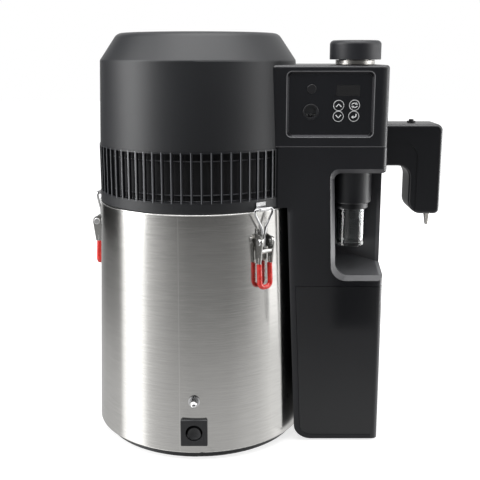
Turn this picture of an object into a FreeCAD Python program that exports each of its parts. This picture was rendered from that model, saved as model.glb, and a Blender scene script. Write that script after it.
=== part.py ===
import FreeCAD, Part
import math
import os

from FreeCAD import Vector

# Countertop still: a steel boiler, a vented head that lifts off it, and a column that carries the
# controls, the sight glass and the outlet arm.
# Millimetres. The origin is on the boiler's axis at the table, +X towards the column, +Y to the
# back and +Z up. Front faces look along -Y.

# Boiler
SHELL_BOTTOM_R = 109.3
SHELL_TOP_R = 101.4
SHELL_TOP_Z = 240.6
SHELL_WALL = 1.0
SHELL_LIP = 18.0
SHELL_FOOT_R = 1.6
BASE_INSET = 7.8
BASE_R = SHELL_BOTTOM_R - BASE_INSET
BASE_H = 8.0
BASE_FLOOR = 3.0
BASE_RIM = 11.0
BASE_EDGE_R = 1.5
RIM_BEAD_R = 1.0
RIM_RISE = 1.3
RIM_Z = SHELL_TOP_Z + RIM_RISE
RIM_ROUND = 0.5
POT_FLANGE = 5.9
POT_DRAFT = 3.5
POT_TOP_R = SHELL_TOP_R - POT_FLANGE
POT_FOOT_R = POT_TOP_R - POT_DRAFT
POT_FLOOR_Z = 58.0
POT_WALL = 1.0
POT_CORNER_R = 10.0
HEATER_R = 58.0
HEATER_H = 9.0
HEATER_RING_R = 41.8
HEATER_RING_T = 4.1
LUG_R = 2.2
LUG_GAP = 10.0
LUG_L = 16.2
CUTOUT_R = 8.5
CUTOUT_H = 7.0
CUTOUT_FLANGE = 2.5
CUTOUT_FLANGE_T = 1.2
CUTOUT_TAB_L = 5.0
CUTOUT_TAB_W = 4.8
CUTOUT_TAB_T = 0.8
BASE_SCREW_INSET = 5.5
BASE_SCREW_RING_R = BASE_R - BASE_SCREW_INSET
BASE_SCREW_R = 1.9
BASE_SCREW_HEAD_R = 3.6
BASE_SCREW_HEAD_H = 2.4
BASE_SCREW_SINK = 3.2
BASE_SCREW_REACH = 4.0
BASE_SCREW_COUNT = 3
BASE_SCREW_ANGLE = 60.0
BASE_VENT_COUNT = 12
BASE_VENT_IN_R = 50.0
BASE_VENT_OUT_R = 76.0
BASE_VENT_W = 4.0

# Reset switch, stud and power inlet on the boiler
SWITCH_X = -2.4
SWITCH_Z = 30.0
SWITCH_W = 26.0
SWITCH_H = 27.0
SWITCH_PROUD = 2.6
SWITCH_CORNER_R = 1.2
SWITCH_EDGE_R = 0.8
SWITCH_BODY = 20.4
SWITCH_DEPTH = 16.0
BUTTON_R = 7.9
BUTTON_DEPTH = 10.0
BUTTON_TRAVEL = 2.0
BUTTON_DISH_R = 16.0
BUTTON_DISH = 1.6
BUTTON_SINK = 1.5
BUTTON_ROUND = 0.6
STUD_X = -2.1
STUD_Z = 61.5
STUD_R = 2.4
WASHER_R = 5.6
WASHER_T = 1.0
NUT_R = 4.2
NUT_L = 5.0
STUD_DOME_R = 3.3
STUD_DOME_L = 1.6
STUD_INNER_L = 8.0
INLET_Z = 34.0
INLET_W = 31.0
INLET_H = 25.0
INLET_BODY_W = 27.0
INLET_BODY_H = 20.0
INLET_BODY_L = 18.0
INLET_MOUTH_W = 24.0
INLET_MOUTH_H = 16.6
INLET_MOUTH_L = 14.0
INLET_PROUD = 2.0
INLET_CORNER_R = 2.0
INLET_PIN_W = 2.0
INLET_PIN_H = 4.0
INLET_PIN_L = 11.0
INLET_PIN_GAP = 7.0
INLET_PIN_DROP = 3.6
INLET_EARTH_LIFT = 1.6

# Toggle latches, drawn at the front and turned into place. Heights are counted from the lever's
# pivot, the bail's bar from the foot of the head's skirt, and radii from the shell or the skirt.
LATCH_FRONT_ANGLE = 37.0
LATCH_LEFT_ANGLE = -98.0
LATCH_REAR_ANGLE = 150.0
LATCH_PIVOT_Z = 214.0
LATCH_STANDOFF = 7.16
LATCH_PLATE_W = 12.0
LATCH_PLATE_T = 1.2
LATCH_PLATE_DROP = 19.0
LATCH_PLATE_RISE = 12.0
LATCH_PLATE_CORNER_R = 2.0
EAR_IN = 4.9
EAR_T = 1.2
EAR_END_R = 4.0
EAR_FOOT = 7.0
LEVER_IN = 6.4
LEVER_T = 1.2
LEVER_END_R = 4.6
LEVER_LEAN = 1.4
LEVER_DROP = 21.0
LEVER_TAIL_R = 3.2
PIN_R = 2.0
PIN_INSET = 0.4
PIN_HEAD_R = 3.4
PIN_HEAD_T = 1.2
PIN_HEAD_ROUND = 0.7
CROSSBAR_R = 2.2
CROSSBAR_DROP = 9.0
CROSSBAR_OUT = 0.5
GRIP_CORE_R = 1.4
GRIP_CORE_X = 6.3
GRIP_CORE_RISE = 6.0
GRIP_R = 2.5
GRIP_TOP_DROP = 21.4
GRIP_BOTTOM_DROP = 44.4
GRIP_CORNER_R = 5.0
GRIP_FOOT_IN = 0.2
BAIL_WIRE_R = 1.2
BAIL_BAR_OUT = 5.6
BAIL_BAR_RISE = 3.0
BAIL_HALF_W = 10.4
BAIL_STEM_X = 1.6
BAIL_STEM_OUT = 3.24
BAIL_STEM_DROP = 12.5
BAIL_CROSS_RISE = 11.5
BAIL_WIDE_DROP = 4.6
BAIL_CORNER_R = 2.6
BAIL_BOW_R = 6.0
BAIL_NECK_R = 10.0
HOOK_W = 11.0
HOOK_T = 1.1
HOOK_TOP_DROP = 1.2
HOOK_LIP_OUT = 1.7
HOOK_LIP_RISE = 0.2
HOOK_BEND_R = 1.2

# Head, stacked on the boiler's rim
SKIRT_INSET = 0.2
SKIRT_R = SHELL_TOP_R - SKIRT_INSET
SKIRT_GAP = 0.3
SKIRT_LOW_Z = RIM_Z + SKIRT_GAP
SKIRT_H = 9.6
SKIRT_TOP_Z = SKIRT_LOW_Z + SKIRT_H
SKIRT_WALL = 4.6
SKIRT_EDGE_R = 0.8
VENT_INSET = 0.4
VENT_R = SKIRT_R - VENT_INSET
VENT_WALL = 3.0
VENT_H = 47.1
VENT_TOP_Z = SKIRT_TOP_Z + VENT_H
VENT_BAND = 1.2
VENT_COUNT = 68
VENT_FIRST_ANGLE = 1.4
VENT_RIB_W = 1.9
VENT_PILLAR_X = 75.2
DOME_INSET = 0.8
DOME_R = VENT_R - DOME_INSET
DOME_TAPER = 2.4
DOME_CREASE_R = DOME_R - DOME_TAPER
DOME_SIDE_H = 81.7
DOME_CREASE_Z = VENT_TOP_Z + DOME_SIDE_H
DOME_SLOPE_W = 17.6
DOME_SLOPE_H = 26.0
DOME_TOP_R = DOME_CREASE_R - DOME_SLOPE_W
DOME_TOP_Z = DOME_CREASE_Z + DOME_SLOPE_H
DOME_CROWN = 1.2
DOME_EDGE_R = 9.0
DOME_CREASE_ROUND = 3.0
DOME_WALL = 3.0
GASKET_INSET = 1.6
GASKET_W = 7.6
GASKET_OUT_R = SKIRT_R - GASKET_INSET
GASKET_IN_R = GASKET_OUT_R - GASKET_W
GASKET_H = 2.8
LID_INSET = 1.4
LID_R = GASKET_OUT_R - LID_INSET
LID_T = 1.2
LEDGE_W = 5.7
LEDGE_IN_R = LID_R - LEDGE_W
LEDGE_T = 2.2
RISER_R = 5.6
RISER_WALL = 1.0
RISER_H = 11.7

# Condenser coil, fan and motor in the head
COIL_R = 80.0
COIL_TUBE_R = 4.0
COIL_TURNS = 4
COIL_LOW_Z = 270.0
COIL_PITCH = 9.6
COIL_START_ANGLE = 200.0
COIL_EXIT_X = 112.0
COIL_LEAD = 12.0
COIL_RELEASE_ANGLE = 31.5
COIL_MOUTH = 8.0
CLIP_COUNT = 3
CLIP_FIRST_ANGLE = 40.0
CLIP_W = 8.0
CLIP_T = 2.0
CLIP_FOOT = 8.0
SHROUD_WALL = 1.6
SHROUD_SHOULDER_DROP = 12.0
SHROUD_NECK_DROP = 4.0
SHROUD_TIP_GAP = 2.0
SHROUD_TOP_RISE = 1.0
FAN_Z = 330.0
FAN_HUB_R = 17.0
FAN_HUB_H = 18.0
FAN_TIP_R = 62.0
FAN_BLADES = 7
FAN_BLADE_T = 1.4
FAN_ROOT_CHORD = 17.0
FAN_TIP_CHORD = 30.0
FAN_ROOT_PITCH = 48.0
FAN_TIP_PITCH = 28.0
FAN_HUB_ROUND = 2.5
SHAFT_R = 2.5
MOTOR_R = 23.0
MOTOR_H = 20.0
MOTOR_GAP = 3.0
MOTOR_ROUND = 2.0
MOTOR_BOSS = 3.0
SHAFT_REACH = 2.0
BRACKET_T = 2.5
BRACKET_SEAT_R = 24.0
BRACKET_ARM_W = 10.0
BRACKET_ARMS = 3
BRACKET_RING_W = 6.0

# Column
COLUMN_FRONT_Y = -66.0
COLUMN_BACK_Y = 66.0
COLUMN_RIGHT_X = 182.0
COLUMN_LOW_Z = 2.0
COLUMN_SEAM_Z = 300.0
COLUMN_GAP = 8.0
COLUMN_WALL = 3.0
COLUMN_EDGE_R = 6.0
COLUMN_FOOT_CORNER_R = 15.0
COLUMN_HEAD_GAP = 0.6
COLUMN_LEFT_X = 60.0
SPINE_WALL = 4.4
COVER_SEAM_Z = 163.6
SEAM = 0.4
COVER_FLANGE = 12.0
COVER_SILL = 20.0
FOOT_R = 6.0
FOOT_ROUND = 0.6
FOOT_X = (144.0, 170.0)
FOOT_Y = 50.0
COVER_SCREW_R = 1.8
COVER_SCREW_L = 7.0
COVER_SCREW_HEAD_R = 3.0
COVER_SCREW_HEAD_T = 1.4
COVER_SCREW_HEAD_SINK = 0.6
COVER_SCREW_SPARE = 2.0
COVER_SCREW_Z = (40.0, 134.0)
COVER_SCREW_ANGLE = 64.0

# Niche in the column, seen from the front
NICHE_LEFT_TOP_X = 132.2
NICHE_LEFT_LOW_X = 135.4
NICHE_TOP_Z = 274.9
NICHE_LOW_Z = 173.8
NICHE_TOP_R = 6.0
NICHE_LOW_R = 13.0
NICHE_RIM = 4.6
NICHE_BEAM_R = 5.0
NICHE_BACK_RIGHT_Y = -36.0
NICHE_BACK_LEFT_X = 134.0
NICHE_BACK_LEFT_Y = -8.0
NICHE_FLOOR_RISE = 15.5

# Control housing
HOUSING_TOP_Z = 376.5
HOUSING_WALL = 3.0
HOUSING_TOP_R = 3.0
HOUSING_DOME_GAP = 0.2
HOUSING_STEP = 0.3
TRAY_T = 1.6
TRAY_MARGIN = 1.5
PANEL_LEFT_X = 85.3
PANEL_RIGHT_X = 167.5
PANEL_LOW_Z = 309.5
PANEL_HIGH_Z = 371.0
PANEL_CORNER_R = 5.0
PANEL_BEVEL = 2.4
PANEL_SINK = 1.5
PANEL_T = 1.2
PANEL_FIT = 0.15
DISPLAY_X = (132.0, 153.7)
DISPLAY_Z = (348.2, 358.3)
DISPLAY_T = 2.0
LAMP_X = 108.8
LAMP_Z = 354.7
LAMP_R = 4.2
LAMP_DOME = 0.5
PORT_X = 108.2
PORT_Z = 333.4
PORT_R = 7.5
PORT_BORE_R = 6.3
PORT_DEPTH = 5.5
PORT_FLOOR = 1.2
PORT_PROUD = 0.5
PORT_WALL = 1.0
PORT_STEP = 0.8
PORT_PIN_R = 0.8
PORT_PIN_L = 3.6
PORT_PIN_X = 3.6
PORT_PIN_Z = -2.6
KEY_R = 4.4
KEY_PLACES = {"up": (134.3, 339.4), "down": (134.1, 329.2), "swap": (149.1, 339.6), "enter": (148.7, 329.4)}
KEY_PROUD = 0.4
KEY_STEM_R = 1.6
KEY_FLANGE_T = 1.0
KEY_FLANGE = 0.4
KEY_BAY_MARGIN = 1.4
KEY_TRAVEL = 0.6
KEY_FIT = 0.3
KEY_ROUND = 0.3
BOARD_LEFT_X = 96.0
BOARD_RIGHT_X = 162.0
BOARD_LOW_Z = 314.0
BOARD_HIGH_Z = 366.0
BOARD_Y = -57.5
BOARD_T = 1.6
BOARD_POST_R = 3.0
BOARD_POST_IN = 4.0
SWITCH_CAN = 5.0
SWITCH_RISE = 2.6
SWITCH_GAP = 0.2
RELAY_INSET = 8.0
RELAY_W = 19.0
RELAY_D = 15.0
CAPACITOR_INSET = 18.0
CAPACITOR_DROP = 12.0
CAPACITOR_R = 5.0
CAPACITOR_L = 16.0

# Cap, neck, holder and sight glass on one vertical axis
GLASS_X = 151.6
GLASS_Y = -42.0
GLASS_R = 13.8
GLASS_WALL = 1.6
GLASS_FLOOR = 3.2
GLASS_LOW_Z = 201.0
GLASS_TOP_Z = 292.0
GLASS_EDGE_R = 1.2
GLASS_BEND_R = 2.0
HOLDER_R = 19.4
HOLDER_LOW_Z = 238.4
HOLDER_STEP_Z = 244.4
HOLDER_LIP_R = 16.6
HOLDER_CAP_T = 3.0
HOLDER_NECK_R = 12.0
HOLDER_NECK_WALL = 1.6
HOLDER_SPOUT_R = 10.9
HOLDER_SPOUT_Z = 228.4
HOLDER_BOSS_R = 16.0
HOLDER_FIT = 0.15
HOLDER_EDGE_R = 1.5
HOLDER_NECK_LAP = 6.0
COLLAR_R = 18.6
COLLAR_THREAD_R = 15.4
COLLAR_BORE_R = 12.3
COLLAR_LOW_Z = 368.0
COLLAR_SHOULDER_Z = 381.0
COLLAR_TOP_Z = 392.0
COLLAR_TAIL_R = 14.6
COLLAR_EDGE_R = 0.5
CAP_R = 24.3
CAP_LOW_Z = 381.4
CAP_TOP_Z = 399.2
CAP_EDGE_R = 4.0
CAP_WALL = 2.5
CAP_THREAD_GAP = 0.6
CAP_ROOF = 3.4
LINER_T = 1.6
LINER_GAP = 0.3
STEM_TUBE_Z = 322.0

# Outlet arm, nozzle, tubes and vent plug
ARM_FRONT_Y = -40.0
ARM_BACK_Y = -2.0
ARM_TOP_Z = 320.0
ARM_UNDER_Z = 279.0
ARM_RIGHT_X = 240.0
ARM_LEG_X = 208.9
ARM_LOW_Z = 231.0
ARM_TOP_R = 7.0
ARM_FOOT_R = 5.5
ARM_HEEL_R = 13.0
ARM_CROOK_R = 12.0
ARM_EDGE_R = 3.5
ARM_WALL = 2.5
ARM_GAP = 0.2
ARM_CREASE_X = 216.0
ARM_CREASE_Z = 302.2
ARM_CREASE_R = 15.0
ARM_CREASE_SINK = 0.6
NOZZLE_X = 232.0
NOZZLE_Y = -21.0
NOZZLE_TOP_R = 3.9
NOZZLE_TIP_R = 1.8
NOZZLE_TIP_Z = 217.0
NOZZLE_BORE_R = 1.2
NOZZLE_STUB = 7.0
NOZZLE_TIP_ROUND = 0.4
TUBE_R = 3.0
TUBE_WALL = 1.0
TUBE_BEND_R = 14.0
TUBE_Z = 306.0
TUBE_LEAN_ANGLE = 60.0
TUBE_SMALL_R = 8.0
TUBE_RUN = 22.0
PLUG_X = 212.0
PLUG_Y = -21.0
PLUG_BASE_R = 4.2
PLUG_BASE_H = 1.3
PLUG_TOP_R = 2.3
PLUG_TOP_H = 1.7
PLUG_STEM_R = 2.6
PLUG_STEM_L = 5.0

# Clearances between pieces
SEAT = 0.1
RUNNING = 0.05
FREE = 0.3
CUT = 5.0

SHELL_TAPER = (SHELL_BOTTOM_R - SHELL_TOP_R) / (SHELL_TOP_Z - BASE_H)


def shell_r(z):
    """Radius of the boiler's outside at a height."""
    return SHELL_BOTTOM_R - SHELL_TAPER * (z - BASE_H)


def pivot_r():
    """Radius at which the levers' pins stand."""
    return shell_r(LATCH_PIVOT_Z) + LATCH_STANDOFF


def bail_bar_r():
    return SKIRT_R + BAIL_BAR_OUT


def bail_bar_z():
    return SKIRT_LOW_Z + BAIL_BAR_RISE


def dome_r(z):
    """Radius of the dome's side at a height."""
    return DOME_R - (DOME_R - DOME_CREASE_R) * (z - VENT_TOP_Z) / (DOME_CREASE_Z - VENT_TOP_Z)


def save(name, shape):
    """Write one node and report its solids and volume."""
    solids = shape.Solids
    shape = solids[0] if len(solids) == 1 else Part.makeCompound(solids)
    print(name, "solids", len(solids), "volume", round(shape.Volume, 1), "valid", shape.isValid())
    shape.exportStep("parts/" + name + ".step")


def block(x0, x1, y0, y1, z0, z1):
    return Part.makeBox(x1 - x0, y1 - y0, z1 - z0, Vector(x0, y0, z0))


def rod(radius, start, end):
    """Cylinder between two points."""
    run = Vector(*end) - Vector(*start)
    return Part.makeCylinder(radius, run.Length, Vector(*start), run)


def upright(radius, z0, z1, x=0.0, y=0.0):
    return Part.makeCylinder(radius, z1 - z0, Vector(x, y, z0))


def tube(outer, inner, z0, z1, x=0.0, y=0.0):
    return upright(outer, z0, z1, x, y).cut(upright(inner, z0 - 1, z1 + 1, x, y))


def cone(r0, r1, z0, z1):
    return Part.makeCone(r0, r1, z1 - z0, Vector(0, 0, z0))


def outline(points, radii, closed=True):
    """Wire through the points, with each corner rounded by its radius."""
    spots = [Vector(*p) for p in points]
    count = len(spots)
    edges = []
    start = None
    last = None
    for i, spot in enumerate(spots):
        radius = radii[i] if isinstance(radii, (list, tuple)) else radii
        open_end = not closed and i in (0, count - 1)
        if radius <= 0 or open_end:
            enter = leave = spot
            arc = None
        else:
            back = (spots[i - 1] - spot).normalize()
            ahead = (spots[(i + 1) % count] - spot).normalize()
            half = back.getAngle(ahead) / 2
            reach = radius / math.tan(half)
            enter = spot + back * reach
            leave = spot + ahead * reach
            middle = (back + ahead).normalize()
            crest = spot + middle * (radius / math.sin(half) - radius)
            arc = Part.Arc(enter, crest, leave).toShape()
        if last is not None and (enter - last).Length > 1e-6:
            edges.append(Part.LineSegment(last, enter).toShape())
        if arc is not None:
            edges.append(arc)
        if start is None:
            start = enter
        last = leave
    if closed and (start - last).Length > 1e-6:
        edges.append(Part.LineSegment(last, start).toShape())
    return Part.Wire(edges)


def plate(points, radii, direction):
    """Solid made by pushing a rounded outline along a direction."""
    return Part.Face(outline(points, radii)).extrude(Vector(*direction))


def turned(profile, radii=0.0, x=0.0, y=0.0):
    """Solid of revolution about a vertical axis, from (radius, height) points."""
    wire = outline([(x + r, y, z) for r, z in profile], radii)
    return Part.Face(wire).revolve(Vector(x, y, 0), Vector(0, 0, 1), 360)


def round_wire(radius, path, side=0.0):
    """Round bar or tube wall along a path."""
    first = path.OrderedEdges[0]
    start = first.valueAt(first.FirstParameter)
    if (start - path.OrderedVertexes[0].Point).Length > 1e-6:
        start = path.OrderedVertexes[0].Point
        run = first.tangentAt(first.LastParameter) * -1
    else:
        run = first.tangentAt(first.FirstParameter)
    ring = Part.Wire([Part.makeCircle(radius, start, run)])
    bar = path.makePipeShell([ring], True, False)
    if side:
        bore = Part.Wire([Part.makeCircle(radius - side, start, run)])
        bar = bar.cut(path.makePipeShell([bore], True, False))
    return bar


def spin(shape, angle):
    """Copy turned about the boiler's axis, counted from the front towards +X."""
    copy = shape.copy()
    copy.rotate(Vector(0, 0, 0), Vector(0, 0, 1), angle)
    return copy


def ring_of(shape, count, first=0.0):
    return [spin(shape, first + i * 360.0 / count) for i in range(count)]


def shell_tool(margin):
    """Cone of the boiler's outside, grown by a margin, for pieces that lie on it."""
    return cone(shell_r(0) + margin, shell_r(SHELL_TOP_Z) + margin, 0, SHELL_TOP_Z)


def column_slab(z0, z1):
    """Everything of the column between two heights."""
    return block(0, COLUMN_RIGHT_X + CUT, COLUMN_FRONT_Y - CUT, COLUMN_BACK_Y + CUT, z0, z1)


def soften(shape, radius, pick):
    """Fillet the edges that a test picks by their box."""
    return shape.makeFillet(radius, [edge for edge in shape.Edges if pick(edge.BoundBox)])


def base_plate():
    """Moulded base pan with a rim that carries the shell, cooling slots and sunk screws."""
    pan = turned([(0, 0), (BASE_R, 0), (BASE_R, BASE_H), (BASE_R - BASE_RIM, BASE_H),
                  (BASE_R - BASE_RIM, BASE_FLOOR), (0, BASE_FLOOR)], [0, BASE_EDGE_R, 0, 0, 0, 0])
    half = BASE_VENT_W / 2
    slot = block(-half, half, BASE_VENT_IN_R, BASE_VENT_OUT_R, -CUT, BASE_FLOOR + CUT)
    hole = upright(BASE_SCREW_R + SEAT, -CUT, BASE_H + CUT, 0, BASE_SCREW_RING_R)
    sink = upright(BASE_SCREW_HEAD_R + FREE, -CUT, BASE_SCREW_SINK, 0, BASE_SCREW_RING_R)
    cuts = ring_of(slot, BASE_VENT_COUNT)
    cuts += ring_of(hole.fuse(sink), BASE_SCREW_COUNT, BASE_SCREW_ANGLE)
    return pan.cut(cuts)


def base_screws():
    """Pan-head screws that hold the base to the shell's lip."""
    under = BASE_SCREW_SINK - BASE_SCREW_HEAD_H
    head = upright(BASE_SCREW_HEAD_R, under, BASE_SCREW_SINK, 0, BASE_SCREW_RING_R)
    shank = upright(BASE_SCREW_R, BASE_SCREW_SINK, BASE_H + BASE_SCREW_REACH, 0, BASE_SCREW_RING_R)
    return Part.makeCompound(ring_of(head.fuse(shank), BASE_SCREW_COUNT, BASE_SCREW_ANGLE))


def boiler_shell():
    """Rolled and seam-welded outer shell with a lip turned in over the base."""
    low = BASE_H + SEAT
    lip_r = SHELL_BOTTOM_R - SHELL_LIP
    over = low + SHELL_WALL
    shell = turned([(lip_r, low), (shell_r(low), low), (SHELL_TOP_R, SHELL_TOP_Z),
                    (SHELL_TOP_R - SHELL_WALL, SHELL_TOP_Z),
                     (shell_r(over) - SHELL_WALL, over), (lip_r, over)],
                   [0, SHELL_FOOT_R, 0, 0, SHELL_FOOT_R - SHELL_WALL, 0])
    hole = upright(BASE_SCREW_R + RUNNING, low - CUT, over + CUT, 0, BASE_SCREW_RING_R)
    half = SWITCH_BODY / 2 + SEAT
    far = SHELL_BOTTOM_R + CUT
    near = SHELL_TOP_R - CUT
    window = block(SWITCH_X - half, SWITCH_X + half, -far, -near, SWITCH_Z - half, SWITCH_Z + half)
    stud = rod(STUD_R + SEAT, (STUD_X, -far, STUD_Z), (STUD_X, -near, STUD_Z))
    wide = INLET_BODY_W / 2 + SEAT
    tall = INLET_BODY_H / 2 + SEAT
    inlet = block(-wide, wide, near, far, INLET_Z - tall, INLET_Z + tall)
    holes = ring_of(hole, BASE_SCREW_COUNT, BASE_SCREW_ANGLE)
    return shell.cut(holes + [window, stud, inlet])


def boiler_pot():
    """Deep-drawn inner pot, hung in the shell by its beaded flange."""
    top = RIM_Z
    bead_r = SHELL_TOP_R + RIM_BEAD_R
    under = SHELL_TOP_Z + SEAT
    profile = [(0, POT_FLOOR_Z), (POT_FOOT_R, POT_FLOOR_Z), (POT_TOP_R, under - POT_WALL), (POT_TOP_R, under),
               (bead_r, under), (bead_r, top), (POT_TOP_R - POT_WALL, top),
               (POT_FOOT_R - POT_WALL, POT_FLOOR_Z + POT_WALL), (0, POT_FLOOR_Z + POT_WALL)]
    bend = POT_CORNER_R - POT_WALL
    return turned(profile, [0, POT_CORNER_R, 0, 0, RIM_ROUND, RIM_ROUND, RIM_ROUND, bend, 0])


def heater_element():
    """Cast heating plate pressed against the pot's floor, with its sheathed ring and two terminals."""
    top = POT_FLOOR_Z - SEAT
    middle = top - HEATER_H / 2
    disc = turned([(0, middle), (HEATER_R, middle), (HEATER_R, top), (0, top)])
    ring = Part.makeTorus(HEATER_RING_R, HEATER_RING_T, Vector(0, 0, middle))
    lugs = [rod(LUG_R, (x, HEATER_RING_R, top - LUG_L), (x, HEATER_RING_R, middle))
            for x in (-LUG_GAP, LUG_GAP)]
    return disc.fuse([ring] + lugs)


def thermal_cutout():
    """Disc thermostat clipped under the heating plate."""
    top = POT_FLOOR_Z - SEAT - HEATER_H / 2 - SEAT
    low = top - CUTOUT_H
    body = upright(CUTOUT_R, low, top)
    flange = upright(CUTOUT_R + CUTOUT_FLANGE, top - CUTOUT_FLANGE_T, top)
    reach = CUTOUT_R + CUTOUT_TAB_L
    tabs = block(-reach, reach, -CUTOUT_TAB_W / 2, CUTOUT_TAB_W / 2, low, low + CUTOUT_TAB_T)
    return body.fuse([flange, tabs])


def switch_bezel():
    """Square black escutcheon with the button's round guide behind it."""
    face_y = -(shell_r(SWITCH_Z) + SWITCH_PROUD)
    back_y = face_y + SWITCH_PROUD + SWITCH_DEPTH
    wide = SWITCH_W / 2
    tall = SWITCH_H / 2
    flange = block(SWITCH_X - wide, SWITCH_X + wide, face_y, face_y + 2 * SWITCH_PROUD,
                   SWITCH_Z - tall, SWITCH_Z + tall)
    flange = soften(flange, SWITCH_CORNER_R, lambda b: b.YLength > SWITCH_PROUD)
    flange = soften(flange, SWITCH_EDGE_R, lambda b: b.YMax < face_y + SEAT)
    flange = flange.cut(shell_tool(SEAT))
    half = SWITCH_BODY / 2
    body = block(SWITCH_X - half, SWITCH_X + half, face_y + SWITCH_EDGE_R, back_y,
                 SWITCH_Z - half, SWITCH_Z + half)
    guide = rod(BUTTON_R + FREE, (SWITCH_X, face_y - CUT, SWITCH_Z),
                (SWITCH_X, face_y + BUTTON_SINK + BUTTON_DEPTH + BUTTON_TRAVEL + FREE, SWITCH_Z))
    return flange.fuse(body).cut(guide).removeSplitter()


def reset_button():
    """Round push button with a dished face."""
    face_y = -(shell_r(SWITCH_Z) + SWITCH_PROUD) + BUTTON_SINK
    button = rod(BUTTON_R, (SWITCH_X, face_y, SWITCH_Z), (SWITCH_X, face_y + BUTTON_DEPTH, SWITCH_Z))
    button = soften(button, BUTTON_ROUND, lambda b: b.YMax < face_y + SEAT)
    dish = Part.makeSphere(BUTTON_DISH_R, Vector(SWITCH_X, face_y + BUTTON_DISH - BUTTON_DISH_R, SWITCH_Z))
    return button.cut(dish)


def front_stud():
    """Threaded stud through the shell with a washer and a domed cap nut."""
    wall_y = -shell_r(STUD_Z) - SEAT
    nut_y = wall_y - WASHER_T
    dome_y = nut_y - NUT_L
    washer = rod(WASHER_R, (STUD_X, wall_y + WASHER_T, STUD_Z), (STUD_X, nut_y, STUD_Z)).cut(shell_tool(SEAT))
    points = []
    for corner in range(6):
        turn = math.radians(60 * corner)
        points.append((STUD_X + NUT_R * math.cos(turn), nut_y, STUD_Z + NUT_R * math.sin(turn)))
    nut = plate(points, 0.0, (0, -NUT_L, 0))
    dome = rod(STUD_DOME_R, (STUD_X, nut_y, STUD_Z), (STUD_X, dome_y - STUD_DOME_L, STUD_Z))
    cap = Part.makeSphere(STUD_DOME_R, Vector(STUD_X, dome_y - STUD_DOME_L, STUD_Z))
    shank = rod(STUD_R, (STUD_X, wall_y + SHELL_WALL + STUD_INNER_L, STUD_Z), (STUD_X, dome_y, STUD_Z))
    return washer.fuse([nut, dome, cap, shank])


def power_inlet():
    """Snap-in appliance inlet at the foot of the back."""
    face_y = shell_r(INLET_Z) + INLET_PROUD
    wide = INLET_W / 2
    tall = INLET_H / 2
    flange = block(-wide, wide, face_y - 2 * INLET_PROUD, face_y, INLET_Z - tall, INLET_Z + tall)
    flange = soften(flange, INLET_CORNER_R, lambda b: b.YLength > INLET_PROUD)
    flange = flange.cut(shell_tool(SEAT))
    half = INLET_BODY_W / 2
    high = INLET_BODY_H / 2
    body = block(-half, half, face_y - INLET_BODY_L, face_y - INLET_PROUD / 2, INLET_Z - high, INLET_Z + high)
    low = INLET_Z - INLET_MOUTH_H / 2
    top = INLET_Z + INLET_MOUTH_H / 2
    side = INLET_MOUTH_W / 2
    cut = INLET_MOUTH_H / 4
    near = face_y + CUT
    mouth = plate([(-side, near, low), (side, near, low), (side, near, top - cut), (side - cut, near, top),
                   (cut - side, near, top), (-side, near, top - cut)], 0.0, (0, -INLET_MOUTH_L - CUT, 0))
    return flange.fuse(body).cut(mouth).removeSplitter()


def inlet_pins():
    """Three flat blades in the inlet, the middle one higher."""
    back_y = shell_r(INLET_Z) + INLET_PROUD - INLET_MOUTH_L
    half = INLET_PIN_W / 2
    tall = INLET_PIN_H / 2
    blades = []
    for x, lift in ((-INLET_PIN_GAP, 0.0), (0.0, INLET_EARTH_LIFT), (INLET_PIN_GAP, 0.0)):
        z = INLET_Z - INLET_PIN_DROP + lift
        blades.append(block(x - half, x + half, back_y, back_y + INLET_PIN_L, z - tall, z + tall))
    return Part.makeCompound(blades)


def latch_angles():
    return {"front": LATCH_FRONT_ANGLE, "left": LATCH_LEFT_ANGLE, "rear": LATCH_REAR_ANGLE}


def pivot_rod(radius, x0, x1):
    """Bar on the levers' pivot line."""
    return rod(radius, (x0, -pivot_r(), LATCH_PIVOT_Z), (x1, -pivot_r(), LATCH_PIVOT_Z))


def latch_base():
    """Bracket riveted to the shell, with two ears for the lever's pins."""
    low = LATCH_PIVOT_Z - LATCH_PLATE_DROP
    high = LATCH_PIVOT_Z + LATCH_PLATE_RISE
    skin = LATCH_PLATE_T + SEAT
    depth = shell_r(low) + skin
    half = LATCH_PLATE_W / 2
    foot = block(-half, half, -depth, -shell_r(high) + skin, low, high)
    foot = soften(foot, LATCH_PLATE_CORNER_R, lambda b: b.YLength > skin)
    foot = foot.common(shell_tool(skin))
    tip = pivot_r() + EAR_END_R
    root = -depth + skin
    ears = []
    for side in (EAR_IN, -EAR_IN - EAR_T):
        ear = plate([(side, root, LATCH_PIVOT_Z - EAR_FOOT), (side, root, LATCH_PIVOT_Z + EAR_FOOT),
                     (side, -tip, LATCH_PIVOT_Z + EAR_END_R), (side, -tip, LATCH_PIVOT_Z - EAR_END_R)],
                    [0, 0, EAR_END_R - SEAT * 4, EAR_END_R - SEAT * 4], (EAR_T, 0, 0))
        ears.append(ear)
    bore = pivot_rod(PIN_R + RUNNING, -LATCH_PLATE_W, LATCH_PLATE_W)
    return foot.fuse(ears).cut([bore, shell_tool(SEAT)]).removeSplitter()


def latch_pins():
    """A riveted pivot pin each side of every latch."""
    pins = []
    for angle in latch_angles().values():
        for side in (-1, 1):
            inner = side * (EAR_IN - PIN_INSET)
            outer = side * (LEVER_IN + LEVER_T + FREE)
            edge = outer + side * PIN_HEAD_T
            shank = pivot_rod(PIN_R, inner, outer)
            head = pivot_rod(PIN_HEAD_R, outer, edge)
            rim = [e for e in head.Edges if abs(e.BoundBox.XMin - edge) + abs(e.BoundBox.XMax - edge) < SEAT]
            pins.append(spin(shank.fuse(head.makeFillet(PIN_HEAD_ROUND, rim)), angle))
    return Part.makeCompound(pins)


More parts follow.
